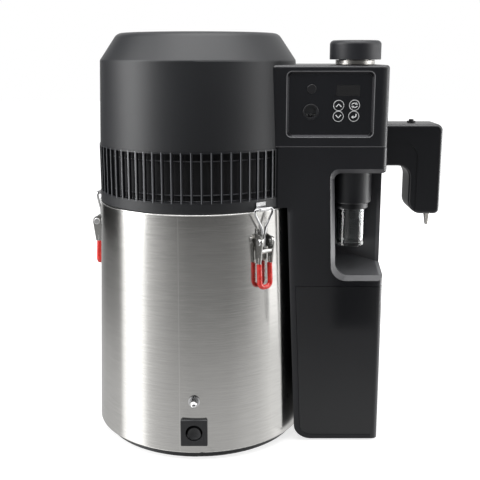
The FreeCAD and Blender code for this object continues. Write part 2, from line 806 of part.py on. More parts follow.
def grip_path(top_drop):
    """Centre line of the lever's wire loop, down one leg, across and up the other."""
    x = GRIP_CORE_X
    top_r = pivot_r() - LEVER_LEAN
    foot_r = pivot_r() - GRIP_FOOT_IN
    top = LATCH_PIVOT_Z - top_drop
    foot = LATCH_PIVOT_Z - GRIP_BOTTOM_DROP
    return outline([(-x, -top_r, top), (-x, -foot_r, foot), (x, -foot_r, foot), (x, -top_r, top)],
                   [0, GRIP_CORNER_R, GRIP_CORNER_R, 0], closed=False)


def latch_lever():
    """Two steel side plates, the crossbar between them and the wire loop that the grip covers."""
    middle = pivot_r()
    low = LATCH_PIVOT_Z - LEVER_DROP
    tail = middle - LEVER_LEAN
    plates = []
    for side in (LEVER_IN, -LEVER_IN - LEVER_T):
        round_end = pivot_rod(LEVER_END_R, side, side + LEVER_T)
        blade = plate([(side, -middle - LEVER_END_R, LATCH_PIVOT_Z),
                       (side, -middle + LEVER_END_R, LATCH_PIVOT_Z),
                       (side, -tail + LEVER_TAIL_R, low), (side, -tail - LEVER_TAIL_R, low)],
                      0.0, (LEVER_T, 0, 0))
        plates.append(round_end.fuse(blade))
    bar_y = -middle - CROSSBAR_OUT
    bar_z = LATCH_PIVOT_Z - CROSSBAR_DROP
    half = LEVER_IN + LEVER_T / 2
    bar = rod(CROSSBAR_R, (-half, bar_y, bar_z), (half, bar_y, bar_z))
    core = round_wire(GRIP_CORE_R, grip_path(LEVER_DROP - GRIP_CORE_RISE))
    lever = plates[0].fuse([plates[1], bar, core])
    bore = pivot_rod(PIN_R + RUNNING, -LATCH_PLATE_W, LATCH_PLATE_W)
    return lever.cut(bore).removeSplitter()


def latch_grip():
    """Dipped vinyl grip over the lever's loop."""
    skin = round_wire(GRIP_R, grip_path(GRIP_TOP_DROP))
    bore = round_wire(GRIP_CORE_R + SEAT, grip_path(LEVER_DROP - GRIP_CORE_RISE))
    return skin.cut(bore)


def latch_bail():
    """Wire bail: a bar in the head's hook, two bowed sides and a double stem behind the crossbar."""
    top_r = bail_bar_r()
    top = bail_bar_z()
    foot = LATCH_PIVOT_Z - BAIL_STEM_DROP
    foot_r = shell_r(foot) + BAIL_STEM_OUT

    def spot(x, z):
        share = (top - z) / (top - foot)
        return (x, -(top_r + share * (foot_r - top_r)), z)
    cross = LATCH_PIVOT_Z + BAIL_CROSS_RISE
    wide = top - BAIL_WIDE_DROP
    half = [(BAIL_STEM_X, foot), (BAIL_STEM_X, cross), (BAIL_HALF_W, wide), (BAIL_HALF_W, top)]
    left = [spot(-x, z) for x, z in half]
    right = [spot(x, z) for x, z in reversed(half)]
    bends = [0, BAIL_NECK_R, BAIL_BOW_R, BAIL_CORNER_R]
    return round_wire(BAIL_WIRE_R, outline(left + right, bends + bends[::-1], closed=False))


def latch_hooks():
    """Bent steel hooks on the head's skirt, one above each latch."""
    half = HOOK_W / 2
    near = SKIRT_R + SEAT
    room = BAIL_WIRE_R + FREE
    inner = near + HOOK_T
    outer = bail_bar_r() + room
    floor = bail_bar_z() - room
    under = floor - HOOK_T
    top = SKIRT_TOP_Z - HOOK_TOP_DROP
    lip_r = bail_bar_r() + HOOK_LIP_OUT
    lip = bail_bar_z() + HOOK_LIP_RISE
    side = [(near, top), (near, under), (outer + HOOK_T, under), (lip_r + HOOK_T, lip), (lip_r, lip),
            (outer, floor), (inner, floor), (inner, top)]
    bends = [0, HOOK_BEND_R, HOOK_BEND_R + HOOK_T - SEAT, SEAT * 4, SEAT * 4, HOOK_BEND_R, HOOK_BEND_R, 0]
    hook = plate([(-half, -r, z) for r, z in side], bends, (HOOK_W, 0, 0))
    hook = hook.cut(upright(near, SKIRT_LOW_Z - CUT, SKIRT_TOP_Z + CUT))
    return Part.makeCompound([spin(hook, angle) for angle in latch_angles().values()])


def skirt_ring():
    """Moulded ring at the foot of the head, with the ledge that holds the lid."""
    ledge_z = lid_top_z() + SEAT
    inner = SKIRT_R - SKIRT_WALL
    clear = GASKET_OUT_R + SEAT
    return turned([(clear, SKIRT_LOW_Z), (SKIRT_R, SKIRT_LOW_Z), (SKIRT_R, SKIRT_TOP_Z), (inner, SKIRT_TOP_Z),
                   (inner, ledge_z + LEDGE_T), (LEDGE_IN_R, ledge_z + LEDGE_T), (LEDGE_IN_R, ledge_z),
                   (clear, ledge_z)], [0, SKIRT_EDGE_R, 0, 0, 0, 0, 0, 0])


def lid_top_z():
    return SKIRT_LOW_Z + GASKET_H + SEAT + LID_T


def coil_foot():
    """Place of the steam riser under the coil's lower end."""
    start = math.radians(COIL_START_ANGLE)
    return COIL_R * math.cos(start), COIL_R * math.sin(start)


def head_lid():
    """Pressed steel lid over the pot, with the steam riser welded in."""
    top = lid_top_z()
    x, y = coil_foot()
    lid = upright(LID_R, top - LID_T, top)
    riser = upright(RISER_R, top - LID_T, top + RISER_H, x, y)
    bore = upright(RISER_R - RISER_WALL, top - LID_T - CUT, top + RISER_H + CUT, x, y)
    return lid.fuse(riser).cut(bore)


def lid_gasket():
    """Silicone ring that seals the lid on the pot's flange."""
    return tube(GASKET_OUT_R, GASKET_IN_R, SKIRT_LOW_Z, SKIRT_LOW_Z + GASKET_H)


def vent_ring():
    """Cylindrical grille: upright ribs between two bands, and a plain wall behind the column."""
    low = SKIRT_TOP_Z
    ring = tube(VENT_R, VENT_R - VENT_WALL, low, VENT_TOP_Z)
    pitch = 2 * math.pi * VENT_R / VENT_COUNT
    half = (pitch - VENT_RIB_W) / 2
    slot = block(-half, half, -VENT_R - CUT, -VENT_R + VENT_WALL + CUT,
                 low + VENT_BAND, VENT_TOP_Z - VENT_BAND)
    wall = ring.common(block(VENT_PILLAR_X, VENT_R + CUT, -VENT_R, VENT_R, low, VENT_TOP_Z))
    return ring.cut(ring_of(slot, VENT_COUNT, VENT_FIRST_ANGLE)).fuse(wall).removeSplitter()


def dome_profile(inset):
    """Outside of the dome, or its inside when inset by the wall."""
    low = VENT_TOP_Z + SEAT
    top = DOME_TOP_Z - inset
    slope = math.hypot(DOME_SLOPE_W, DOME_SLOPE_H)
    drop = inset * (slope - DOME_SLOPE_H) / DOME_SLOPE_W
    pull = inset * (slope - DOME_SLOPE_W) / DOME_SLOPE_H
    points = [(0, low), (DOME_R - inset, low), (DOME_CREASE_R - inset, DOME_CREASE_Z - drop),
              (DOME_TOP_R - pull, top), (0, top + DOME_CROWN)]
    return points, [0, 0, DOME_CREASE_ROUND, DOME_EDGE_R - inset, 0]


def head_dome():
    """Moulded cover of the head, with a hole for the coil's outlet."""
    outside = turned(*dome_profile(0.0))
    inside = turned(*dome_profile(DOME_WALL))
    coil_z = coil_top_z()
    coil_hole = rod(COIL_TUBE_R + FREE, (DOME_R - DOME_WALL - CUT, 0, coil_z), (DOME_R + CUT, 0, coil_z))
    return outside.cut([inside, coil_hole])


def coil_top_z():
    return COIL_LOW_Z + COIL_TURNS * COIL_PITCH


def arc_edge(start, run, end):
    """Arc that leaves a point along a direction and ends at another point."""
    chord = end - start
    along = Vector(chord).normalize()
    side = run - along * run.dot(along)
    if side.Length < 1e-6:
        return Part.LineSegment(start, end).toShape()
    half = run.getAngle(along)
    crest = start + chord * 0.5 + side.normalize() * (chord.Length / 2 * math.tan(half / 2))
    return Part.Arc(start, crest, end).toShape()


def biarc(start, run0, end, run1):
    """Two tangent arcs between two points with given directions."""
    chord = end - start
    both = run0 + run1
    gap = 2 * (1 - run0.dot(run1))
    if gap < 1e-9:
        reach = chord.dot(chord) / (4 * chord.dot(run1))
    else:
        reach = (-chord.dot(both) + math.sqrt(chord.dot(both) ** 2 + gap * chord.dot(chord))) / gap
    joint = (start + run0 * reach + end - run1 * reach) * 0.5
    second = joint - start
    back = arc_edge(end, run1 * -1, joint)
    return [arc_edge(start, run0, joint), back]


def coil_stations():
    """Points and directions of the coil: up from the riser, round the turns and out to the column."""
    start = math.radians(COIL_START_ANGLE)
    quarter = math.pi / 2
    turns = COIL_TURNS - COIL_START_ANGLE / 360.0
    top = coil_top_z()
    rise = COIL_PITCH / (2 * math.pi * COIL_R)
    lead = COIL_LEAD / COIL_R
    sweep = 2 * math.pi * turns - lead - math.radians(COIL_RELEASE_ANGLE)
    steps = int(round(sweep / quarter))
    x, y = coil_foot()
    stations = [(Vector(x, y, lid_top_z() + RISER_H + SEAT), Vector(0, 0, 1))]
    for step in range(steps + 1):
        angle = start + lead + sweep * step / steps
        z = COIL_LOW_Z + (top - COIL_LOW_Z) * step / steps
        place = Vector(COIL_R * math.cos(angle), COIL_R * math.sin(angle), z)
        stations.append((place, Vector(-math.sin(angle), math.cos(angle), rise).normalize()))
    stations.append((Vector(DOME_R - COIL_MOUTH, 0, top), Vector(1, 0, 0)))
    stations.append((Vector(COIL_EXIT_X, 0, top), Vector(1, 0, 0)))
    return stations


def condenser_coil():
    """Steel condenser coil, one unbroken tube."""
    stations = coil_stations()
    edges = []
    for (start, run0), (end, run1) in zip(stations[:-2], stations[1:-1]):
        edges += biarc(start, run0, end, run1)
    edges.append(Part.LineSegment(stations[-2][0], stations[-1][0]).toShape())
    path = Part.Wire(Part.__sortEdges__(edges))
    length = sum(edge.Length for edge in edges)
    coil = round_wire(COIL_TUBE_R, path)
    area = math.pi * COIL_TUBE_R ** 2
    print("coil length", round(length, 1))
    print("coil volume by section", round(area * length, 1), "made", round(coil.Volume, 1))
    print("coil least gap to itself", round(least_gap(edges, 2 * COIL_TUBE_R), 2))
    return coil


def least_gap(edges, thickness):
    """Least distance between stretches of the coil that aren't neighbours, less its thickness."""
    points = []
    for edge in edges:
        points += edge.discretize(9)[:-1]
    least = 1e9
    for i, here in enumerate(points):
        for there in points[i + 24:]:
            least = min(least, (here - there).Length)
    return least - thickness


def coil_clips():
    """Posts on the lid that hold the coil's turns."""
    low = lid_top_z() + SEAT
    high = coil_top_z() + COIL_TUBE_R
    inner = COIL_R - COIL_TUBE_R - FREE
    half = CLIP_W / 2
    post = block(inner - CLIP_T, inner, -half, half, low, high)
    foot = block(inner - CLIP_T - CLIP_FOOT, inner, -half, half, low, low + CLIP_T)
    posts = ring_of(post.fuse(foot).removeSplitter(), CLIP_COUNT, CLIP_FIRST_ANGLE)
    return Part.makeCompound(posts)


def air_shroud():
    """Moulded duct inside the coil, on the clips' feet, drawn in round the fan's tips."""
    low = lid_top_z() + SEAT + CLIP_T + SEAT
    outer = COIL_R - COIL_TUBE_R - FREE - CLIP_T - SEAT
    neck = FAN_TIP_R + SHROUD_TIP_GAP + SHROUD_WALL
    shoulder_z = FAN_Z - SHROUD_SHOULDER_DROP
    neck_z = FAN_Z - SHROUD_NECK_DROP
    top = FAN_Z + FAN_HUB_H + SHROUD_TOP_RISE
    tall = neck_z - shoulder_z
    drop = SHROUD_WALL * (math.hypot(outer - neck, tall) - tall) / (outer - neck)
    inner = outer - SHROUD_WALL
    throat = neck - SHROUD_WALL
    return turned([(inner, low), (outer, low), (outer, shoulder_z), (neck, neck_z), (neck, top),
                   (throat, top), (throat, neck_z - drop), (inner, shoulder_z - drop)])


def bracket_z():
    return FAN_Z + FAN_HUB_H + MOTOR_GAP + MOTOR_H


def fan_bracket():
    """Spider inside the dome: a ring, three arms and a seat for the motor."""
    low = bracket_z()
    high = low + BRACKET_T
    rim = dome_r(high) - DOME_WALL - FREE
    ring = tube(rim, rim - BRACKET_RING_W, low, high)
    seat = upright(BRACKET_SEAT_R, low, high)
    arm = block(-BRACKET_ARM_W / 2, BRACKET_ARM_W / 2, 0, rim - BRACKET_RING_W / 2, low, high)
    return ring.fuse([seat] + ring_of(arm, BRACKET_ARMS)).removeSplitter()


def fan_motor():
    """Motor can under the bracket with its shaft down through the fan."""
    top = bracket_z() - SEAT
    low = bracket_z() - MOTOR_H
    can = upright(MOTOR_R, low, top)
    can = soften(can, MOTOR_ROUND, lambda b: b.ZMax < low + SEAT)
    boss = upright(SHAFT_R + MOTOR_BOSS, low - MOTOR_GAP + FREE, low + MOTOR_ROUND)
    shaft = upright(SHAFT_R, FAN_Z - SHAFT_REACH, low + MOTOR_ROUND)
    return can.fuse([boss, shaft])


def fan_rotor():
    """Moulded axial fan: a hub with a bore for the shaft and pitched blades."""
    hub = upright(FAN_HUB_R, FAN_Z, FAN_Z + FAN_HUB_H)
    hub = soften(hub, FAN_HUB_ROUND, lambda b: b.ZMax < FAN_Z + SEAT)
    middle = FAN_Z + FAN_HUB_H / 2

    def section(radius, chord, pitch):
        lean = math.radians(pitch)
        long_way = Vector(math.cos(lean), 0, math.sin(lean)) * (chord / 2)
        thick = Vector(-math.sin(lean), 0, math.cos(lean)) * (FAN_BLADE_T / 2)
        centre = Vector(0, radius, middle)
        corners = [centre - long_way - thick, centre + long_way - thick,
                   centre + long_way + thick, centre - long_way + thick]
        return Part.makePolygon(corners + corners[:1])
    blade = Part.makeLoft([section(FAN_HUB_R - FAN_HUB_ROUND, FAN_ROOT_CHORD, FAN_ROOT_PITCH),
                           section((FAN_HUB_R + FAN_TIP_R) / 2, (FAN_ROOT_CHORD + FAN_TIP_CHORD) / 2,
                                   (FAN_ROOT_PITCH + FAN_TIP_PITCH) / 2),
                           section(FAN_TIP_R, FAN_TIP_CHORD, FAN_TIP_PITCH)], True, False)
    bore = upright(SHAFT_R + RUNNING, FAN_Z - CUT, FAN_Z + FAN_HUB_H + CUT)
    return hub.fuse(ring_of(blade, FAN_BLADES)).cut(bore).removeSplitter()


def hollow_side(extra):
    """Tool as large as the boiler and the head, with a margin that the column keeps round the boiler."""
    low = COLUMN_LOW_Z - CUT
    wide = COLUMN_RIGHT_X + CUT
    head_r = SKIRT_R + COLUMN_HEAD_GAP + extra
    top = COLUMN_SEAM_Z + CUT
    gap = COLUMN_GAP + extra
    foot = COLUMN_LOW_Z + extra
    points = [(0, low), (wide, low), (wide, foot), (shell_r(COLUMN_LOW_Z) + gap, foot),
              (shell_r(SKIRT_LOW_Z) + gap, SKIRT_LOW_Z), (head_r, SKIRT_LOW_Z), (head_r, top), (0, top)]
    return turned(points, [0, 0, 0, max(COLUMN_FOOT_CORNER_R - extra, SPINE_WALL / 4), 0, 0, 0, 0])


def column_block(inset, low, high):
    """Plan of the column as a plain block with rounded right corners."""
    left = COLUMN_LEFT_X
    right = COLUMN_RIGHT_X - inset
    front = COLUMN_FRONT_Y + inset
    back = COLUMN_BACK_Y - inset
    corner = COLUMN_EDGE_R - inset
    return plate([(left, front, low), (right, front, low), (right, back, low), (left, back, low)],
                 [0, corner, corner, 0], (0, 0, high - low))


def niche_mouth(grow, y):
    """Outline of the niche's mouth, open towards the right, grown by a margin at a depth."""
    far = COLUMN_RIGHT_X + 2 * CUT
    top = NICHE_TOP_Z + grow
    low = NICHE_LOW_Z - grow
    return outline([(NICHE_LEFT_TOP_X - grow, y, top), (far, y, top), (far, y, low),
                    (NICHE_LEFT_LOW_X - grow, y, low)],
                   [NICHE_TOP_R + grow / 2, 0, 0, NICHE_LOW_R + grow / 2])


def niche(grow):
    """Space of the niche, or the space with its walls when grown by their thickness."""
    front = COLUMN_FRONT_Y - CUT
    depth = COLUMN_BACK_Y - front
    slot = Part.Face(niche_mouth(grow, front)).extrude(Vector(0, depth, 0))
    wide = COLUMN_RIGHT_X - NICHE_BACK_LEFT_X
    slope = (NICHE_BACK_RIGHT_Y - NICHE_BACK_LEFT_Y) / wide
    lean = math.hypot(1.0, slope)
    right_y = NICHE_BACK_RIGHT_Y + grow * lean
    low = NICHE_LOW_Z - grow - CUT
    reach = COLUMN_LEFT_X
    right = (COLUMN_RIGHT_X + reach, right_y + reach * slope, low)
    left = (NICHE_BACK_LEFT_X - reach, right_y - (wide + reach) * slope, low)
    ahead = plate([right, left, (left[0], front - CUT, low), (right[0], front - CUT, low)], 0.0,
                  (0, 0, NICHE_TOP_Z + grow + CUT - low))
    ramp_x = NICHE_LEFT_LOW_X - reach
    ramp_low = NICHE_LOW_Z - grow
    ramp_front = COLUMN_FRONT_Y + NICHE_RIM
    ramp_back = NICHE_BACK_LEFT_Y
    far = ramp_back + reach
    ramp = plate([(ramp_x, ramp_front, ramp_low), (ramp_x, ramp_back, ramp_low + NICHE_FLOOR_RISE),
                  (ramp_x, far, ramp_low + reach), (ramp_x, far, ramp_low - reach),
                  (ramp_x, ramp_front, ramp_low - reach)], 0.0, (COLUMN_RIGHT_X, 0, 0))
    alcove = upright(HOLDER_R + FREE + grow, NICHE_LOW_Z + NICHE_FLOOR_RISE, NICHE_TOP_Z + grow,
                     GLASS_X, GLASS_Y)
    return slot.common(ahead).cut(ramp).fuse(alcove)


def niche_rim():
    """Chamfer round the niche's mouth."""
    return Part.makeLoft([niche_mouth(NICHE_RIM + FREE, COLUMN_FRONT_Y - FREE),
                          niche_mouth(-RUNNING, COLUMN_FRONT_Y + NICHE_RIM)], True, True)


def beam_corner():
    """Waste that rounds the lower right corner of the beam over the niche."""
    x = COLUMN_RIGHT_X - NICHE_BEAM_R
    z = NICHE_TOP_Z + NICHE_BEAM_R
    near = COLUMN_FRONT_Y - CUT
    waste = block(x, COLUMN_RIGHT_X + CUT, near, NICHE_BACK_RIGHT_Y, NICHE_TOP_Z - SEAT, z)
    return waste.cut(rod(NICHE_BEAM_R, (x, near, z), (x, NICHE_BACK_RIGHT_Y, z)))


def column_frame():
    """Moulding of the column: the upper part with the niche, and the curved spine beside the boiler."""
    outside = column_block(0.0, COLUMN_LOW_Z, COLUMN_SEAM_Z).cut(hollow_side(0.0))
    floor_z = COVER_SEAM_Z + COLUMN_WALL
    room = column_block(COLUMN_WALL, floor_z, COLUMN_SEAM_Z + CUT).cut(hollow_side(COLUMN_WALL))
    upper = outside.common(column_slab(COVER_SEAM_Z, COLUMN_SEAM_Z + CUT))
    upper = upper.cut(room.cut(niche(COLUMN_WALL)))
    upper = upper.cut([niche(0.0), niche_rim()])
    spine = outside.common(hollow_side(SPINE_WALL)).common(column_slab(0, COVER_SEAM_Z + SEAM))
    frame = upper.fuse(spine)
    boss = upright(HOLDER_BOSS_R + SEAT, NICHE_TOP_Z - CUT, COLUMN_SEAM_Z - SEAM, GLASS_X, GLASS_Y)
    return frame.cut([boss, beam_corner()] + screw_holes()).removeSplitter()


def screw_places():
    """Height and turn about the boiler's axis of each screw through the spine."""
    return [(z, 90 + side * (90 - COVER_SCREW_ANGLE)) for z in COVER_SCREW_Z for side in (-1, 1)]


def screw_holes():
    """Sunk holes through the spine and into the cover's edges."""
    holes = []
    for z, angle in screw_places():
        radius = shell_r(z) + COLUMN_GAP
        under = radius + COVER_SCREW_HEAD_SINK + COVER_SCREW_HEAD_T
        mouth = rod(COVER_SCREW_HEAD_R + SEAT, (0, -radius + COLUMN_WALL, z), (0, -under, z))
        hole = rod(COVER_SCREW_R + SEAT, (0, -radius, z), (0, -radius - COVER_SCREW_L - COVER_SCREW_SPARE, z))
        holes.append(spin(mouth.fuse(hole), angle))
    return holes


def cover_screws():
    """Screws through the spine into the cover's edges."""
    screws = []
    for z, angle in screw_places():
        top = shell_r(z) + COLUMN_GAP + COVER_SCREW_HEAD_SINK
        under = top + COVER_SCREW_HEAD_T
        head = rod(COVER_SCREW_HEAD_R, (0, -top, z), (0, -under, z))
        end = under + COVER_SCREW_L - COVER_SCREW_SPARE
        shank = rod(COVER_SCREW_R, (0, -top - COVER_SCREW_HEAD_T / 2, z), (0, -end, z))
        screws.append(spin(head.fuse(shank), angle))
    return Part.makeCompound(screws)


def lower_cover():
    """Wrap-round cover of the column's foot: front, right side, back and floor in one moulding."""
    high = COVER_SEAM_Z - SEAM
    skin = SPINE_WALL + SEAM
    outside = column_block(0.0, COLUMN_LOW_Z, high).cut(hollow_side(skin))
    room = column_block(COLUMN_WALL, COLUMN_LOW_Z + COLUMN_WALL, high + CUT)
    room = room.cut(hollow_side(skin + COLUMN_WALL))
    flange = COVER_FLANGE
    slab = block(0, COLUMN_RIGHT_X + CUT, COLUMN_FRONT_Y + flange, COLUMN_BACK_Y - flange,
                 COLUMN_LOW_Z + COVER_SILL, high + CUT)
    open_side = hollow_side(skin + flange).common(slab)
    return outside.cut([room, open_side] + screw_holes()).removeSplitter()


def column_feet():
    """Rubber feet under the column."""
    feet = []
    for x in FOOT_X:
        for y in (-FOOT_Y, FOOT_Y):
            foot = upright(FOOT_R, 0, COLUMN_LOW_Z - SEAT, x, y)
            feet.append(soften(foot, FOOT_ROUND, lambda b: b.ZMax < SEAT))
    return Part.makeCompound(feet)


def control_housing():
    """Moulded box on top of the column, fitted round the dome's side."""
    low = COLUMN_SEAM_Z + SEAM
    top = HOUSING_TOP_Z
    outside = column_block(HOUSING_STEP, low, top)
    outside = soften(outside, HOUSING_TOP_R, lambda b: b.ZMin > top - SEAT and b.XMax > COLUMN_LEFT_X + CUT)
    fit = HOUSING_DOME_GAP
    inner = fit + HOUSING_WALL
    dome = cone(dome_r(low - CUT) + fit, dome_r(top + CUT) + fit, low - CUT, top + CUT)
    dome_in = cone(dome_r(low - CUT) + inner, dome_r(top + CUT) + inner, low - CUT, top + CUT)
    room = column_block(HOUSING_WALL + HOUSING_STEP, low - CUT, top - HOUSING_WALL).cut(dome_in)
    box = outside.cut(dome).cut(room)
    front = COLUMN_FRONT_Y + HOUSING_STEP
    face = panel_face_y()
    behind = face + PANEL_T + SEAT
    recess = Part.makeLoft([panel_outline(SEAT, front - SEAT), panel_outline(-PANEL_BEVEL, face)], True, True)
    pocket = Part.Face(panel_outline(-PANEL_BEVEL, face)).extrude(Vector(0, behind - face, 0))
    tray = Part.Face(panel_outline(TRAY_MARGIN, behind)).extrude(Vector(0, TRAY_T, 0))
    posts = []
    for x in (BOARD_LEFT_X + BOARD_POST_IN, BOARD_RIGHT_X - BOARD_POST_IN):
        for z in (BOARD_LOW_Z + BOARD_POST_IN, BOARD_HIGH_Z - BOARD_POST_IN):
            posts.append(rod(BOARD_POST_R, (x, behind, z), (x, BOARD_Y - SEAT, z)))
    box = box.cut([recess, pocket]).fuse([tray] + posts)
    wall = COLUMN_RIGHT_X
    coil_z = coil_top_z()
    deep = behind + TRAY_T + HOUSING_WALL
    openings = [upright(COLLAR_TAIL_R + SEAT, top - HOUSING_WALL - CUT, top + CUT, GLASS_X, GLASS_Y),
                rod(COIL_TUBE_R + FREE, (DOME_R - CUT, 0, coil_z), (DOME_R + HOUSING_WALL + CUT, 0, coil_z)),
                rod(TUBE_R + FREE, (wall - HOUSING_WALL - CUT, NOZZLE_Y, TUBE_Z),
                    (wall + CUT, NOZZLE_Y, TUBE_Z)),
                rod(LAMP_R + SEAT, (LAMP_X, front, LAMP_Z), (LAMP_X, deep, LAMP_Z)),
                rod(PORT_R - PORT_WALL + SEAT, (PORT_X, front, PORT_Z), (PORT_X, deep, PORT_Z)),
                display_block(SEAT, front, deep)]
    return box.cut(openings + [key_bay(front, deep)]).removeSplitter()


def display_block(grow, y0, y1):
    """Space of the display between two depths."""
    return block(DISPLAY_X[0] - grow, DISPLAY_X[1] + grow, y0, y1, DISPLAY_Z[0] - grow, DISPLAY_Z[1] + grow)


def key_bay(y0, y1):
    """Opening behind the panel that the keys' flanges move in."""
    margin = KEY_R + KEY_FLANGE + KEY_BAY_MARGIN
    across = [x for x, z in KEY_PLACES.values()]
    up = [z for x, z in KEY_PLACES.values()]
    return block(min(across) - margin, max(across) + margin, y0, y1, min(up) - margin, max(up) + margin)


def panel_outline(grow, y):
    """Rounded outline of the control panel, grown or shrunk, at a depth."""
    left = PANEL_LEFT_X - grow
    right = PANEL_RIGHT_X + grow
    low = PANEL_LOW_Z - grow
    high = PANEL_HIGH_Z + grow
    corner = PANEL_CORNER_R + grow / 2
    return outline([(left, y, low), (right, y, low), (right, y, high), (left, y, high)], corner)


def panel_face_y():
    return COLUMN_FRONT_Y + HOUSING_STEP + PANEL_SINK


def control_panel():
    """Thin moulded fascia with openings for the display, lamp, port and keys."""
    face = panel_face_y()
    near = face - CUT
    far = face + CUT
    fascia = Part.Face(panel_outline(-PANEL_BEVEL - PANEL_FIT, face)).extrude(Vector(0, PANEL_T, 0))
    openings = [rod(LAMP_R + SEAT, (LAMP_X, near, LAMP_Z), (LAMP_X, far, LAMP_Z)),
                rod(PORT_R + SEAT, (PORT_X, near, PORT_Z), (PORT_X, far, PORT_Z)),
                display_block(SEAT, near, far)]
    for x, z in KEY_PLACES.values():
        openings.append(rod(KEY_R + KEY_FIT, (x, near, z), (x, far, z)))
    return fascia.cut(openings)


def display_window():
    """Smoked window over the digits."""
    face = panel_face_y()
    return display_block(0.0, face, face + DISPLAY_T)


def indicator_lens():
    """Domed lens of the indicator lamp."""
    face = panel_face_y()
    crest = face - LAMP_DOME
    lens = rod(LAMP_R, (LAMP_X, crest, LAMP_Z), (LAMP_X, face + DISPLAY_T, LAMP_Z))
    return soften(lens, LAMP_DOME - RUNNING, lambda b: b.YMax < crest + RUNNING)


def port_socket():
    """Round three-pin socket."""
    face = panel_face_y()
    near = face - CUT
    floor = face + PORT_DEPTH - PORT_FLOOR
    ring = rod(PORT_R, (PORT_X, face - PORT_PROUD, PORT_Z), (PORT_X, face + PANEL_T, PORT_Z))
    body = rod(PORT_R - PORT_WALL, (PORT_X, face, PORT_Z), (PORT_X, face + PORT_DEPTH, PORT_Z))
    bore = rod(PORT_R - 2 * PORT_WALL, (PORT_X, near, PORT_Z), (PORT_X, floor, PORT_Z))
    mouth = rod(PORT_BORE_R, (PORT_X, near, PORT_Z), (PORT_X, face + PORT_STEP, PORT_Z))
    return ring.fuse(body).cut([bore, mouth])


def port_pins():
    """Three round pins in the socket's lower half."""
    floor = panel_face_y() + PORT_DEPTH - PORT_FLOOR
    z = PORT_Z + PORT_PIN_Z
    pins = []
    for x in (PORT_X - PORT_PIN_X, PORT_X, PORT_X + PORT_PIN_X):
        pins.append(rod(PORT_PIN_R, (x, floor, z), (x, floor - PORT_PIN_L, z)))
    return Part.makeCompound(pins)


def key_cap(x, z):
    """Round key with a flange behind the panel and a short stem towards its switch."""
    crest = panel_face_y() - KEY_PROUD
    back = panel_face_y() + PANEL_T + KEY_FIT
    cap = rod(KEY_R, (x, crest, z), (x, back + KEY_FLANGE_T / 2, z))
    cap = soften(cap, KEY_ROUND, lambda b: b.YMax < crest + RUNNING)
    flange = rod(KEY_R + KEY_FLANGE, (x, back, z), (x, back + KEY_FLANGE_T, z))
    stem = rod(KEY_STEM_R, (x, back, z), (x, BOARD_Y - SWITCH_RISE - KEY_TRAVEL - SWITCH_GAP, z))
    return cap.fuse([flange, stem])


def control_board():
    """Circuit board behind the panel with a switch under each key, a relay and a capacitor."""
    board = block(BOARD_LEFT_X, BOARD_RIGHT_X, BOARD_Y, BOARD_Y + BOARD_T, BOARD_LOW_Z, BOARD_HIGH_Z)
    half = SWITCH_CAN / 2
    back = BOARD_Y + BOARD_T
    inside = back - BOARD_T / 2
    parts = []
    for x, z in KEY_PLACES.values():
        parts.append(block(x - half, x + half, BOARD_Y - SWITCH_RISE, inside, z - half, z + half))
    relay_x = BOARD_LEFT_X + RELAY_INSET
    relay_z = BOARD_LOW_Z + RELAY_INSET
    parts.append(block(relay_x, relay_x + RELAY_W, inside, back + RELAY_D, relay_z, relay_z + RELAY_D))
    can_x = BOARD_LEFT_X + CAPACITOR_INSET
    can_z = BOARD_HIGH_Z - CAPACITOR_DROP
    parts.append(rod(CAPACITOR_R, (can_x, inside, can_z), (can_x, back + CAPACITOR_L, can_z)))
    return board.fuse(parts).removeSplitter()


def sight_glass():
    """Glass cup with a thick floor that shows the distillate."""
    inner = GLASS_R - GLASS_WALL
    floor = GLASS_LOW_Z + GLASS_FLOOR
    return turned([(0, GLASS_LOW_Z), (GLASS_R, GLASS_LOW_Z), (GLASS_R, GLASS_TOP_Z), (inner, GLASS_TOP_Z),
                   (inner, floor), (0, floor)], [0, GLASS_EDGE_R, 0, 0, GLASS_BEND_R, 0], GLASS_X, GLASS_Y)


def cup_holder():
    """Sleeve round the glass, its inner spout and the neck that leads up to the cap."""
    grip = GLASS_R + HOLDER_FIT
    ceiling = NICHE_TOP_Z - SEAT
    roof = GLASS_TOP_Z + SEAT
    top = HOLDER_CAP_T + roof
    inner = HOLDER_SPOUT_R - HOLDER_NECK_WALL
    neck_top = COLLAR_LOW_Z + HOLDER_NECK_LAP
    soft = HOLDER_EDGE_R
    profile = [(grip, HOLDER_LOW_Z), (HOLDER_LIP_R, HOLDER_LOW_Z), (HOLDER_LIP_R, HOLDER_STEP_Z),
               (HOLDER_R, HOLDER_STEP_Z), (HOLDER_R, ceiling), (HOLDER_BOSS_R, ceiling),
               (HOLDER_BOSS_R, top), (HOLDER_NECK_R, top), (HOLDER_NECK_R, neck_top), (inner, neck_top),
               (inner, HOLDER_SPOUT_Z), (HOLDER_SPOUT_R, HOLDER_SPOUT_Z), (HOLDER_SPOUT_R, roof),
               (grip, roof)]
    return turned(profile, [soft / 2, soft, soft / 2, soft] + [0] * 10, GLASS_X, GLASS_Y)


def neck_collar():
    """Steel neck: a tail in the housing's top, the bright shoulder and the threaded mouth."""
    under = HOUSING_TOP_Z + SEAT
    profile = [(COLLAR_BORE_R, COLLAR_LOW_Z), (COLLAR_TAIL_R, COLLAR_LOW_Z), (COLLAR_TAIL_R, under),
               (COLLAR_R, under), (COLLAR_R, COLLAR_SHOULDER_Z), (COLLAR_THREAD_R, COLLAR_SHOULDER_Z),
               (COLLAR_THREAD_R, COLLAR_TOP_Z), (COLLAR_BORE_R, COLLAR_TOP_Z)]
    soft = COLLAR_EDGE_R
    return turned(profile, [0, 0, 0, soft, soft, 0, soft, 0], GLASS_X, GLASS_Y)


